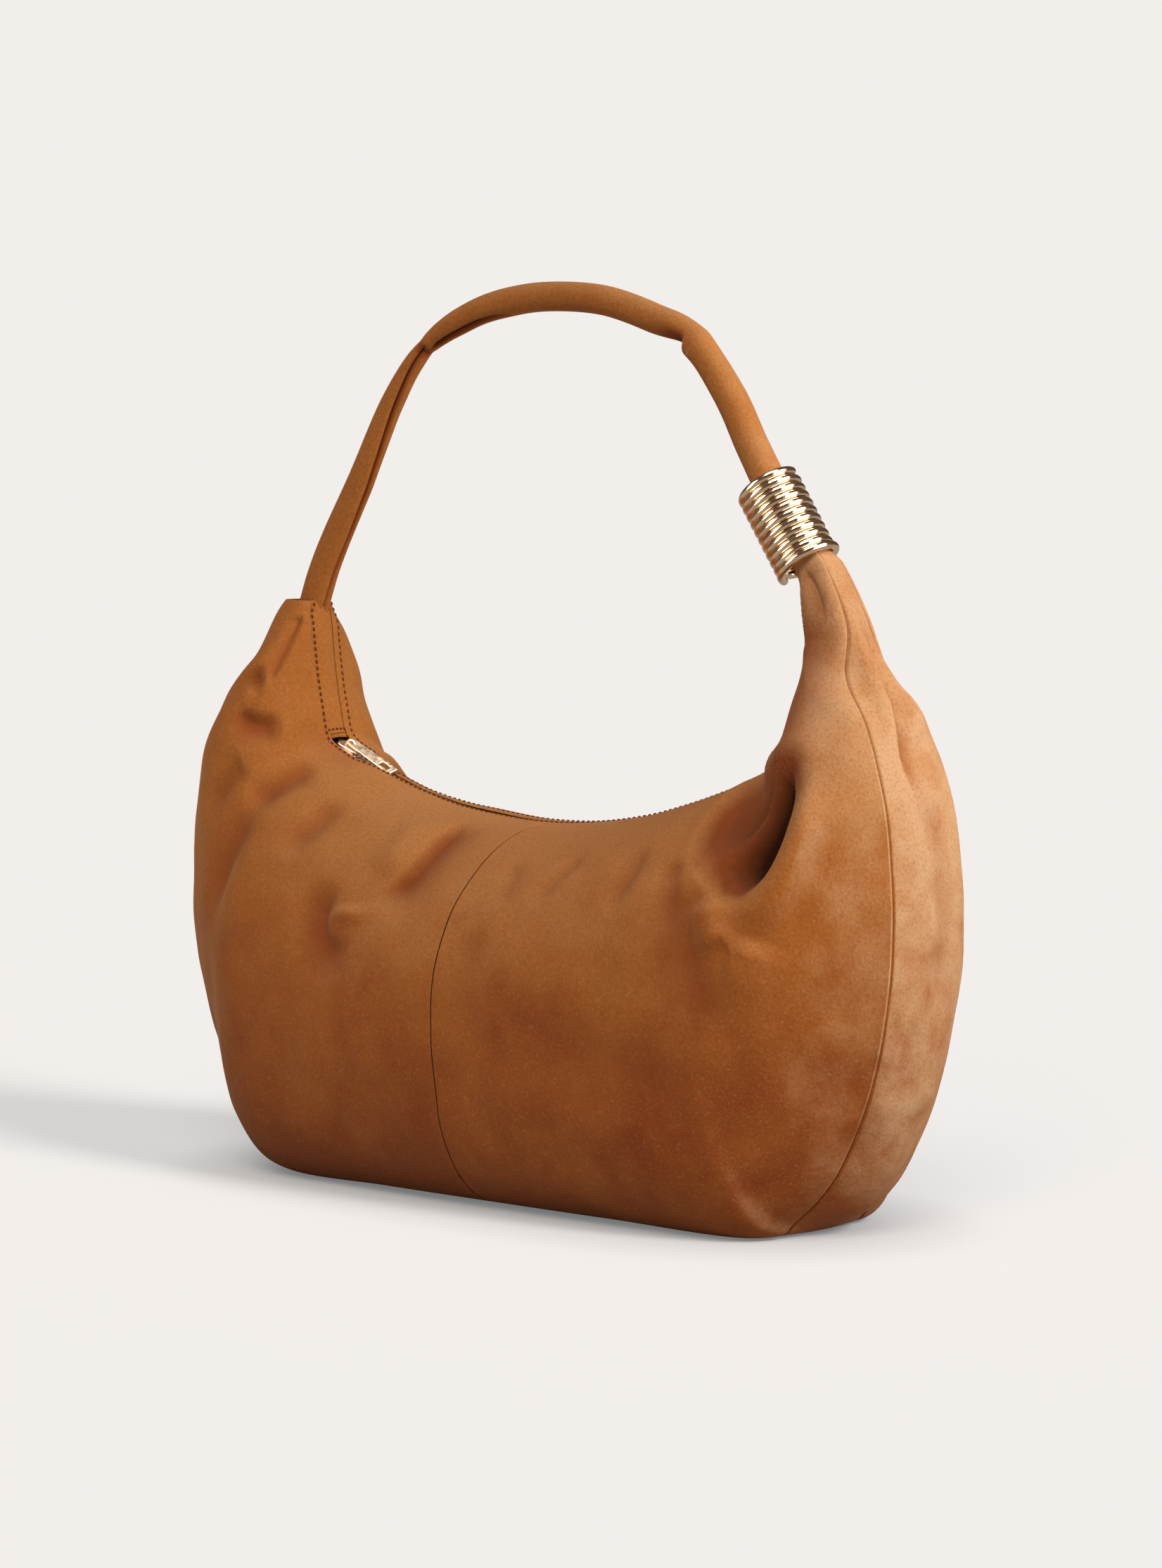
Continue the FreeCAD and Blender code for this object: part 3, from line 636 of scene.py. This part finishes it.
def smooth_step(value, low, high):
    """0 below low, 1 above high, and smooth between them."""
    part = np.clip((value - low) / (high - low), 0, 1)
    return part * part * (3 - 2 * part)


def path_at(place, out):
    """Where the upper part of a section is a given distance out from the zip line."""
    depth = rows_at(place)[..., 4]
    return np.arcsin(np.clip(out / depth, -1, 1)) * 2 / np.pi


def slot_out(place, face):
    """Inner edge of a facing. Past its ends, the front one covers the slot."""
    gap = HEAD_GAP - (HEAD_GAP - ZIP_GAP) * smooth_step(place, -2.9, -2.1)
    depth = rows_at(place)[..., 4]
    above = np.minimum(HEAD_GAP, 0.45 * depth) * (1.0 if face < 0 else -0.93)
    gap = gap + (COVERED - gap) * smooth_step(place, 3.5, 3.9)
    return gap + (above - gap) * smooth_step(-place, HEAD, HEAD + 0.05)


def facing_out(place, face):
    """Outer edge of a facing: a wide tab up the horn in front, a narrow lip elsewhere."""
    lip = slot_out(np.clip(place, -HEAD, HEAD), face) + (3.4 if face > 0 else 5)
    return np.minimum(lip, (0.66 if face > 0 else 0.8) * rows_at(place)[..., 4])


def strip(places, low, high, step, radii=(SEAM_ROLL, SEAM_ROLL), ends=(0, 0), inset=0):
    """Grid of surface points between two path limits, with its edges turned under."""
    low, high = (np.broadcast_to(limit, places.shape) for limit in (low, high))
    middle = np.abs(places).argmin()
    line = shell(places[middle], np.linspace(low[middle], high[middle], 40))
    length = norm(np.diff(line, axis=0), axis=1).sum()
    parts = spaced(0, 1, step / length, min(3, 0.3 * length) / length, 0.4 / length)
    paths = low[:, None] + (high - low)[:, None] * parts[None, :]
    grid_places = np.repeat(places[:, None], len(parts), axis=1)
    points = shell(grid_places, paths)
    travelled, walked = walked_along(points, 1), walked_along(points)
    turned = np.zeros(paths.shape)
    for distance, radius in ((travelled, radii[0]), (travelled[:, -1:] - travelled, radii[1]),
                             (walked, ends[0]), (walked[-1:] - walked, ends[1])):
        if radius:
            turned = np.maximum(turned, roll(distance, radius))
    return body_surface(grid_places, paths, turned + inset)


def even_places(start, end, step=1.5):
    """Places along the bag, evenly set apart where the body is fullest."""
    fine = np.linspace(start, end, 500)
    length = walked_along(shell(fine, 1.2))
    return np.interp(spaced(0, length[-1], step), length, fine)


def finish_piece(piece, nodes, body=None):
    """Ties a piece to its body, or else bakes its placement into its mesh."""
    if body is None:
        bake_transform(piece)
    else:
        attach(piece, body)
    if nodes:
        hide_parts(*nodes)
    return piece


def body_panels():
    """Four panels, sewn to each other at mid length and to the end bands below."""
    for side, name, top in SIDES:
        places = even_places(side * 0.002, side * top)
        for face, face_name in FACES:
            start = path_at(places, facing_out(places, face) - 0.3)
            points = strip(places, face * start, face * 2, 1.5, (FACING_ROLL, SEAM_ROLL),
                           (0.4 if side < 0 else 1.2, SEAM_ROLL))
            node = "%s_panel_%s" % (face_name, name)
            finish_piece(grid_object(node + "_skin", points, SUEDE), [node])


def band_points(places, step, ends=(0, 0)):
    """Grid across the end band, from its front seam to its back seam."""
    front = strip(places, 2, 3, step, (SEAM_ROLL, 0), ends)
    back = strip(places, -2, -3, step, (SEAM_ROLL, 0), ends)
    return np.concatenate([front, back[:, -2::-1]], axis=1)


def end_bands():
    """The two end bands, tail included, and the strip of the base between them."""
    for side, name, top in SIDES:
        points = band_points(even_places(side * 2, side * top), 1.5, (0, SEAM_ROLL))
        nodes = ["gusset_" + name] + (["tail_gather"] if side > 0 else [])
        finish_piece(grid_object("gusset_%s_skin" % name, points, SUEDE), nodes)
    points = band_points(even_places(-2, 2, 4), 3)
    finish_piece(grid_object("base_strip_skin", points, SUEDE), ["base_strip"], "bag")


def zip_facings():
    """The two narrow facings beside the zip, with extra points where its slot ends."""
    places = even_places(-LEFT_TOP, RIGHT_TOP)
    corner = HEAD + np.array([-0.06, -0.03, 0, 0.015, 0.03, 0.05, 0.08, 0.12])
    places = np.unique(np.concatenate([places, corner, -corner]))
    for face, name in FACES:
        points = strip(places, face * path_at(places, slot_out(places, face)),
                       face * path_at(places, facing_out(places, face)), 0.8,
                       (0.8, FACING_ROLL), (SEAM_ROLL, SEAM_ROLL))
        finish_piece(grid_object("zip_facing_%s_skin" % name, points, SUEDE),
                     ["zip_facing_" + name])


def end_tabs():
    """Reinforcing tabs under the facings; their turned ends show in the zip's slot."""
    for side, name, top in SIDES:
        places = even_places(side * (HEAD - 0.09), side * (top - 3))
        half = np.minimum(8, 0.5 * rows_at(places)[..., 4])
        front, back = (strip(places, low, high, 0.8, (0, 0.5), (0.8, 0), TAB_UNDER)
                       for low, high in ((0, path_at(places, half)),
                                         (-1e-4, -path_at(places, half))))
        points = np.concatenate([front[:, ::-1], back[:, 1:]], axis=1)
        finish_piece(grid_object("zip_end_tab_%s_skin" % name, points, SUEDE),
                     ["zip_end_tab_" + name])


def linings():
    """Cloth on the inner side of both halves."""
    places = even_places(-8, 8, 2.5)
    for face, name in FACES:
        points = strip(places, face * path_at(places, facing_out(places, face) + 4), face * 2.99,
                       2.5, (0, 0), (0, 0), LINING_UNDER)
        finish_piece(grid_object("lining_%s_cloth" % name, points, LINING),
                     ["lining_" + name])


body_panels()
end_bands()
zip_facings()
end_tabs()
linings()

# ---------------- stitches


def frames_along(points):
    """Unit directions along a line of points."""
    along = np.gradient(points, axis=0)
    return along / norm(along, axis=1, keepdims=True)


THREAD_RADIUS = 0.55
THREAD_LIFT = 0.3               # rise of a stitch above the suede at its middle


def stitch_row(name, places, paths, pitch=3.2, length=2.1):
    """One row of topstitching over the body, as short rounded threads."""
    line = body_surface(places, paths)[:, :3]
    normal = shell_normals(places, paths)
    walked = walked_along(line)
    centres = np.arange(pitch / 2, walked[-1], pitch)
    rings, sides = 7, 8
    part = np.linspace(-1, 1, rings)
    radius = THREAD_RADIUS * np.sqrt(np.clip(1 - part ** 4, 0.04, 1))
    arch = THREAD_LIFT * (1 - part ** 2) - 0.1
    turn = np.linspace(0, 2 * np.pi, sides, endpoint=False)
    vertices, faces = [], []
    for centre in centres:
        stretch = np.clip(centre + length / 2 * part, 0, walked[-1])
        spine, up = (np.stack([np.interp(at, walked, value[:, i]) for i in range(3)], axis=-1)
                     for at, value in ((stretch, line), (centre, normal)))
        up /= norm(up)
        ahead = spine[-1] - spine[0]
        ahead /= norm(ahead)
        out = np.cross(up, ahead)
        start = len(vertices)
        vertices += [spine[i] + up * arch[i]
                     + radius[i] * (out * cos(angle) + up * 0.8 * sin(angle))
                     for i in range(rings) for angle in turn]
        faces += grid_faces(rings, sides, True, start)
        faces.append(tuple(start + j for j in range(sides))[::-1])
        faces.append(tuple(start + (rings - 1) * sides + j for j in range(sides)))
    return mesh_object(name, np.array(vertices), faces, THREAD)


def topstitching():
    """A row along each facing's outer edge, and one across the head of the zip."""
    for face, name in FACES:
        places = np.linspace(-LEFT_TOP + 0.1, 9.6, 900)
        out = facing_out(places, face) - 1.3
        piece = stitch_row("topstitch_" + name, places, face * path_at(places, out))
        finish_piece(piece, [])
    across = np.linspace(HEAD_GAP + 1.6, 0.4 - HEAD_GAP, 40)
    place = np.full(len(across), -HEAD - 0.16)
    piece = stitch_row("topstitch_head", place, path_at(place, across), 2.6, 1.7)
    finish_piece(piece, [], "bag")


topstitching()

# ---------------- strap

# Centre line (x, z) of the strap from its left foot over both corners to the right foot.
# Places along it: 0 left foot, 1 left corner, 2 right corner.
STRAP_LINE = [(-163.5, 262), (-158.5, 278), (-148, 301), (-128, 334), (-105, 374), (-83, 399),
              (-53, 413.5), (-24, 419.5), (3, 420.5), (32, 417.5), (60, 409), (83, 399),
              (104, 375), (119, 349.5), (133.5, 326), (145.5, 305)]
STRAP_KNOTS = [0, 0.1, 0.25, 0.5, 0.78, 1, 1.18, 1.34, 1.5, 1.66, 1.82, 2, 2.25, 2.5, 2.74,
               2.95]
STRAP_SECTION = [
    # place, half width in the plane of the loop, half depth
    (0, 8.8, 5.6), (0.15, 8.8, 5.6), (0.5, 7.6, 5.2), (0.8, 6, 4.8), (0.95, 4.8, 4.2),
    (1, 4.2, 4), (1.03, 4.8, 4.8), (1.12, 6.2, 6.2), (1.3, 6.9, 6.9), (1.8, 6.9, 6.9),
    (1.96, 7, 6.6), (2, 7.2, 6.2), (2.06, 6.9, 6.8), (2.3, 7.5, 7.4), (2.6, 7.8, 7.8),
    (2.95, 7.9, 7.9),
]


def strap_centre(place):
    """Middle of the strap at places along it."""
    line = np.array(STRAP_LINE, float)
    count = np.linspace(0, len(line) - 1, 40 * len(line))
    dense = smooth_line(line, len(count))
    knots = np.interp(count, np.arange(len(line)), STRAP_KNOTS)
    return np.stack([np.interp(place, knots, dense[:, 0]), np.zeros(len(place)),
                     np.interp(place, knots, dense[:, 1])], axis=-1)


def bell(value, middle, below, above, power=2):
    """1 at the middle, falling off by its own width on each side."""
    width = np.where(value < middle, below, above)
    return np.exp(-(np.abs(value - middle) / width) ** power)


def strap_surface(place, turn, inset=0):
    """Points of the strap. turn is 0 on the inside of the loop and 90 in front."""
    table = np.array(STRAP_SECTION)
    wide = np.interp(place[:, 0], table[:, 0], table[:, 1])
    deep = np.interp(place[:, 0], table[:, 0], table[:, 2])
    kernel = np.hanning(9) / np.hanning(9).sum()
    wide, deep = (np.convolve(np.pad(v, 4, mode="edge"), kernel, "valid") for v in (wide, deep))
    centre = strap_centre(place[:, 0])
    along = frames_along(centre)
    inner = np.stack([along[:, 2], np.zeros(len(along)), -along[:, 0]], axis=-1)
    size = np.ones(place.shape)
    # long crease down the left leg, between the flat outer fold and a thin inner roll
    crease = np.interp(place, [0, 0.35, 0.6, 0.85, 1], [18, 6, 20, 48, 70])
    deepness = np.interp(place, [0, 0.3, 0.6, 0.85, 0.98, 1.02], [0.16, 0.2, 0.34, 0.46, 0.4, 0])
    size -= deepness * bell(turn, crease, 16, 9, 1.5)
    # hollow under the arch beside the left corner
    arch = smooth_step(place, 1, 1.06) * (1 - smooth_step(place, 1.14, 1.36))
    size -= 0.62 * arch * bell(turn, 26, 15, 13, 2.4)
    # pinched corners
    size -= 0.40 * bell(turn, 55, 75, 70, 4) * bell(place, 0.995, 0.022, 0.012, 1.4)
    size -= 0.46 * bell(turn, 30, 60, 62, 4) * bell(place, 1.988, 0.075, 0.012, 1.3)
    size += 0.08 * bell(place, 2.03, 0.03, 0.06)
    angle = np.radians(turn)
    across = size * (wide[:, None] - inset) * np.cos(angle)
    ahead = size * (deep[:, None] - inset) * np.sin(angle)
    points = centre[:, None, :] + inner[:, None, :] * across[..., None]
    points[..., 1] -= ahead
    wave = np.array([noise.noise(Vector(p * 0.06)) for p in points.reshape(-1, 3)])
    points[..., 0] += 0.25 * wave.reshape(place.shape)
    # the fourth value, how far the cover is pinched in, gives the painted shade in its creases
    return np.concatenate([points, np.clip(1.3 * (1 - size), 0, 1)[..., None]], axis=-1)


CORE_INSET = 3.4                # the cord keeps clear of the cover's creases


def strap():
    """The padded cover and the cord inside it."""
    places = np.unique(np.concatenate([np.linspace(0, 2.95, 260), np.linspace(0.94, 1.06, 40),
                                       np.linspace(1.92, 2.05, 44)]))
    turns = np.linspace(-180, 180, 97)[:-1]
    place, turn = np.meshgrid(places, turns, indexing="ij")
    cover = grid_object("strap_cover_skin", strap_surface(place, turn), SUEDE, closed=True)
    finish_piece(cover, ["strap_cover"])
    cord = strap_surface(place[::3, ::4], turn[::3, ::4], CORE_INSET)
    finish_piece(grid_object("strap_core_cord", cord, CORE, closed=True), ["strap_core"])


strap()

# ---------------- coil


def tube(name, line, radius, material, sides=20, caps=6):
    """A round wire along a line of points, with rounded ends."""
    along = frames_along(line)
    turns = np.linspace(0, 2 * np.pi, sides, endpoint=False)
    up = np.zeros_like(line)
    up[0] = np.cross(along[0], np.cross(along[0], (0, 1, 0)))
    up[0] /= norm(up[0])
    for i in range(1, len(line)):
        step = up[i - 1] - along[i] * (up[i - 1] @ along[i])
        up[i] = step / norm(step)
    out = np.cross(along, up)
    leans = [pi / 2 * i / caps for i in range(1, caps + 1)]
    cap = [(radius * sin(lean), radius * max(cos(lean), 0.02)) for lean in leans]
    rings = [(0, -shift, size) for shift, size in cap[::-1]]
    rings += [(i, 0, radius) for i in range(len(line))]
    rings += [(-1, shift, size) for shift, size in cap]
    points = np.array([[line[i] + along[i] * shift + size * (out[i] * cos(a)
                                                             + up[i] * sin(a))
                        for a in turns] for i, shift, size in rings])
    return grid_object(name, points, material, closed=True)


def coil():
    """The wire coil round the strap; its first turn flares outwards."""
    turns = np.linspace(0, COIL_TURNS, int(COIL_TURNS * 72))
    flare = 1 - smooth_step(turns, 0, 1)
    radius = COIL_RADIUS + 1.5 * flare
    angle = 2 * np.pi * turns + radians(200)
    middle = FOOT + LEG * (COIL_START + COIL_WIRE / 2 + COIL_PITCH * turns)[:, None]
    middle = middle + ACROSS * (1.6 * flare)[:, None]
    line = (middle + ACROSS * (radius * np.cos(angle))[:, None]
            + np.array([0, 1, 0]) * (radius * np.sin(angle))[:, None])
    wire = COIL_WIRE / 2 * 1.04         # so that the turns nearly touch
    finish_piece(tube("coil_ring_wire", line, wire, GOLD), ["coil_ring"], "coil")


coil()

# ---------------- zip hardware

TAPE_RADIUS = ZIP_RADIUS + TAPE_DEPTH
SLIDER_ANGLE = -ZIP_ANGLE + degrees((SLIDER_LENGTH / 2 + SLIDER_GAP) / TAPE_RADIUS)
LAST_TOOTH = ZIP_ANGLE - degrees(TAPE_END / TAPE_RADIUS)

# parts of the CAD model that are shown as they are
for node, material in (("zip_tape_front", TAPE), ("zip_tape_back", TAPE), ("zip_stops", GOLD),
                       ("strap_anchor", SUEDE)):
    materials = frame["nodes"][node].data.materials
    materials.clear()
    materials.append(material)


def arc_matrix(angle, lift=0):
    """Frame on the tape's arc, in millimetres: X along the zip, Z out of the bag."""
    turn = radians(angle)
    radius = TAPE_RADIUS - lift
    place = Vector((radius * sin(turn), 0, ARC_CENTRE - radius * cos(turn)))
    return Matrix.Translation(place) @ Matrix.Rotation(-turn, 4, "Y")


def flat_piece(name, outlines, thick, bevel, matrix, material):
    """A flat metal part with rounded edges, from closed outlines; inner ones are holes."""
    curve = bpy.data.curves.new(name, "CURVE")
    curve.dimensions = "2D"
    curve.fill_mode = "BOTH"
    curve.extrude = (thick / 2 - bevel) * MM
    curve.bevel_depth = bevel * MM
    curve.bevel_resolution = 3
    curve.offset = -bevel * MM
    for outline in outlines:
        spline = curve.splines.new("POLY")
        spline.points.add(len(outline) - 1)
        for point, (x, y) in zip(spline.points, outline):
            point.co = (x * MM, y * MM, 0, 1)
        spline.use_cyclic_u = True
    holder = add_object(name + "_outline", curve)
    bpy.context.view_layer.update()
    data = bpy.data.meshes.new_from_object(holder)
    bpy.data.objects.remove(holder)
    bpy.data.curves.remove(curve)
    scaled = matrix.copy()
    scaled.translation = scaled.translation * MM
    data.transform(scaled)
    data.materials.clear()
    data.materials.append(material)
    return add_object(name, data)


def rounded(x_low, x_high, half_low, half_high, radius):
    """Outline of a bar along X whose half width changes from one end to the other."""
    corners = [(x_low, -half_low, 180), (x_high, -half_high, 270), (x_high, half_high, 0),
               (x_low, half_low, 90)]
    outline, steps = [], 6
    for x, y, first in corners:
        x -= copysign(radius, x - (x_low + x_high) / 2)
        y -= copysign(radius, y)
        turns = [radians(first + 90 * i / steps) for i in range(steps + 1)]
        outline += [(x + radius * cos(turn), y + radius * sin(turn)) for turn in turns]
    return outline


def joined(name, parts):
    """One object from several."""
    bpy.ops.object.select_all(action="DESELECT")
    for part in parts:
        part.select_set(True)
    bpy.context.view_layer.objects.active = parts[0]
    bpy.ops.object.join()
    parts[0].name = name
    return parts[0]


def slider():
    """Two plates, a flange at each side and the bail that holds the pull."""
    plate = rounded(-SLIDER_LENGTH / 2, SLIDER_LENGTH / 2, 4.7, 3.7, 2.6)
    parts = [flat_piece("slider_" + label, [plate], 1.4, 0.45, arc_matrix(SLIDER_ANGLE, level),
                        BRASS) for label, level in (("upper", 2.1), ("lower", -2.1))]
    for side in (-1, 1):
        matrix = arc_matrix(SLIDER_ANGLE, 1) @ Matrix.Translation((1.5, side * 3.9, 0))
        parts.append(flat_piece("slider_flange_%d" % side, [rounded(-4.6, 4.6, 0.42, 0.42, 0.3)],
                                1, 0.15, matrix, BRASS))
    reach = [(-3.2, 2.6), (-2.9, 4.6), (-1.6, 5.7), (0.4, 5.9), (2, 5.2), (2.9, 3.9), (3.1, 2.6)]
    matrix = arc_matrix(SLIDER_ANGLE)
    line = np.array([matrix @ Vector((x, 0, z)) for x, z in smooth_line(reach, 40)])
    parts.append(tube("slider_bail", line, 0.62, BRASS, 14, 3))
    finish_piece(joined("zip_slider_body", parts), ["zip_slider"], "slider")


def pull():
    """The flat pull with its eye and its slot, leaning towards the front."""
    outer = rounded(-2.2, 30.8, 2.3, 3.1, 0.7)
    eye = rounded(-1.2, 1.9, 1.1, 1.1, 0.5)
    slot = rounded(21.6, 27.9, 1.4, 1.4, 0.35)
    lean = Matrix.Rotation(radians(24), 4, "X")
    matrix = arc_matrix(SLIDER_ANGLE, 4.8) @ lean
    piece = flat_piece("zip_pull_tab", [outer, eye, slot], 1.3, 0.28, matrix, BRASS)
    finish_piece(piece, ["zip_pull"], "pull")


TOOTH = [
    # distance out from the zip line, half length along it, half height
    (3.4, 0.45, 0.9), (2.8, 0.62, 1.15), (1.4, 0.62, 1.15), (0.5, 0.7, 1.2),
    (-0.5, 0.72, 1.2), (-0.85, 0.5, 0.95),
]
OCTAGON = ((-1, -0.7), (-0.7, -1), (0.7, -1), (1, -0.7), (1, 0.7), (0.7, 1), (-0.7, 1), (-1, 0.7))


def teeth():
    """Two rows of teeth that mesh along the whole closed zip."""
    step = degrees(TOOTH_STEP / TAPE_RADIUS)
    count = int((LAST_TOOTH - SLIDER_ANGLE) / step)
    rings, sides = len(TOOTH), len(OCTAGON)
    for side, name, first in ((-1, "front", 0), (1, "back", 1)):
        vertices, faces = [], []
        for i in range(first, count, 2):
            matrix = arc_matrix(SLIDER_ANGLE + step * i)
            start = len(vertices)
            vertices += [matrix @ Vector((half * x, side * out, high * z))
                         for out, half, high in TOOTH for x, z in OCTAGON]
            faces += grid_faces(rings, sides, True, start)
            faces.append(tuple(start + j for j in range(sides)))
            faces.append(tuple(start + (rings - 1) * sides + j for j in range(sides))[::-1])
        piece = mesh_object("zip_teeth_%s_row" % name, np.array(vertices), faces, BRASS, False)
        finish_piece(piece, ["zip_teeth_" + name], "bag")


slider()
pull()
teeth()

# ---------------- stage, light, camera


CAMERA = dict(azimuth=42, distance=2, height=0.33, pitch=3.907, yaw=-0.339)   # deg, m
LENS, SENSOR = 98.2493, 36.0


def camera():
    """The photograph's view: from the front right, a little above the bag."""
    data = bpy.data.cameras.new("camera")
    data.sensor_fit = "VERTICAL"
    data.sensor_height, data.lens = SENSOR, LENS
    item = add_object("camera", data)
    azimuth, pitch, yaw = (radians(CAMERA[key]) for key in ("azimuth", "pitch", "yaw"))
    distance = CAMERA["distance"]
    item.location = (distance * sin(azimuth), -distance * cos(azimuth),
                     CAMERA["height"])
    item.rotation_euler = (pi / 2 - pitch, 0, azimuth + yaw)
    scene.camera = item


camera()

BACKDROP = (0.888, 0.855, 0.831)
AMBIENT = (0.16, 0.095, 0.08)  # even light from everywhere, warmed by the leather's own bounce
SUN = dict(turn=86, rise=33, angle=16, strength=3.6, color=(1, 0.97, 0.94))
FILL = dict(turn=34, rise=42, angle=32, strength=2.05, color=(1, 0.9, 0.78))
FLOOR_TONE = 0.34
FLOOR_HALF = 30.0               # in metres, far past what the camera sees
LIGHT_AIM = 0.16                # height that the panel lights are turned to


def floor_light(channel):
    """Light that reaches the open floor, as a share of full white."""
    suns = sum(lamp["strength"] * lamp["color"][channel] * sin(radians(lamp["rise"]))
               for lamp in (SUN, FILL))
    return suns / pi + AMBIENT[channel]


def stage():
    """A pale seamless floor: as bright as the backdrop where no shadow falls on it.

    The camera also sees a glow that makes up the difference, dimmed close to the bag as a painted
    contact shadow.
    """
    data = bpy.data.meshes.new("floor")
    corners = ((-1, -1), (1, -1), (1, 1), (-1, 1))
    data.from_pydata([(x * FLOOR_HALF, y * FLOOR_HALF, 0) for x, y in corners], [],
                     [(0, 1, 2, 3)])
    floor = add_object("floor", data)
    shader = Shader("floor")
    rays = shader.node("ShaderNodeLightPath")
    diffuse = shader.node("ShaderNodeBsdfDiffuse", Color=(FLOOR_TONE,) * 3)
    rest = tuple(BACKDROP[i] - FLOOR_TONE * floor_light(i) for i in range(3))
    # painted contact shadow: the glow dims where the bag is near
    shade = shader.node("ShaderNodeAmbientOcclusion", samples=8, Distance=0.06)
    painted_contact_shadow = shader.ramp(shade.outputs["AO"], (0, 0.35), (0.9, 1))
    seen = shader.times(rays.outputs["Is Camera Ray"], painted_contact_shadow)
    glow = shader.node("ShaderNodeEmission", Color=rest, Strength=seen)
    add = shader.node("ShaderNodeAddShader")
    shader.link(diffuse.outputs[0], add.inputs[0])
    shader.link(glow.outputs[0], add.inputs[1])
    shader.show(add.outputs[0])
    data.materials.append(shader.material)
    return floor


FLOOR = stage()


def lamp_object(name, kind, energy, color):
    data = bpy.data.lights.new(name, kind)
    data.energy, data.color = energy, color
    return add_object(name, data)


def sun(name, turn, rise, angle, strength, color):
    lamp = lamp_object(name, "SUN", strength, color)
    lamp.data.angle = radians(angle)
    lamp.rotation_euler = (pi / 2 - radians(rise), 0, radians(turn))
    lamp.visible_glossy = False
    return lamp


def panel_light(name, turn, rise, distance, size, power, color=(1, 1, 1)):
    """A flat rectangular light turned to the middle of the bag."""
    lamp = lamp_object(name, "AREA", power, color)
    lamp.data.shape = "RECTANGLE"
    lamp.data.size, lamp.data.size_y = size
    around_z, up = radians(turn), radians(rise)
    lamp.location = (distance * sin(around_z) * cos(up),
                     -distance * cos(around_z) * cos(up),
                     LIGHT_AIM + distance * sin(up))
    lamp.rotation_euler = (pi / 2 - up, 0, around_z)
    return lamp


def floor_only(lamp, wanted):
    """Limits a lamp to the floor, or keeps it off the floor."""
    group = bpy.data.collections.new(lamp.name + "_receivers")
    group.objects.link(FLOOR)
    lamp.light_linking.receiver_collection = group
    if not wanted:
        group.collection_objects[0].light_linking.link_state = "EXCLUDE"


def world():
    """The backdrop seen by the camera, even light on the object, dark walls in the metal."""
    item = bpy.data.worlds.new("studio")
    scene.world = item
    shader = Shader("studio", item)
    rays = shader.node("ShaderNodeLightPath")
    even, metal, backdrop = (
        shader.node("ShaderNodeBackground", Color=color, Strength=strength).outputs[0]
        for color, strength in ((AMBIENT, 1), ((0.3, 0.21, 0.15), 0.35), (BACKDROP, 1)))
    for kind, shown in (("Is Glossy Ray", metal), ("Is Camera Ray", backdrop)):
        mix = shader.node("ShaderNodeMixShader", Fac=rays.outputs[kind])
        shader.link(even, mix.inputs[1])
        shader.link(shown, mix.inputs[2])
        even = mix.outputs[0]
    shader.show(even)


floor_only(sun("sun", **SUN), True)
sun("fill", **FILL)
KEY = panel_light("key", 106, 24, 1, (0.45, 0.6), 7.6, (1, 0.98, 0.96))
KEY.visible_glossy = False
floor_only(KEY, False)
# panels that only the metal reflects: turn, rise, distance, size, power
REFLECTIONS = {"right": (100, 25, 1.6, (1.1, 1.5), 60), "left": (-25, 20, 1.8, (0.9, 1.4), 45),
               "top": (42, 75, 1.6, (0.8, 0.8), 30)}
for label, facts in REFLECTIONS.items():
    panel_light("reflection_" + label, *facts).visible_diffuse = False
world()
scene.view_settings.view_transform = "Standard"
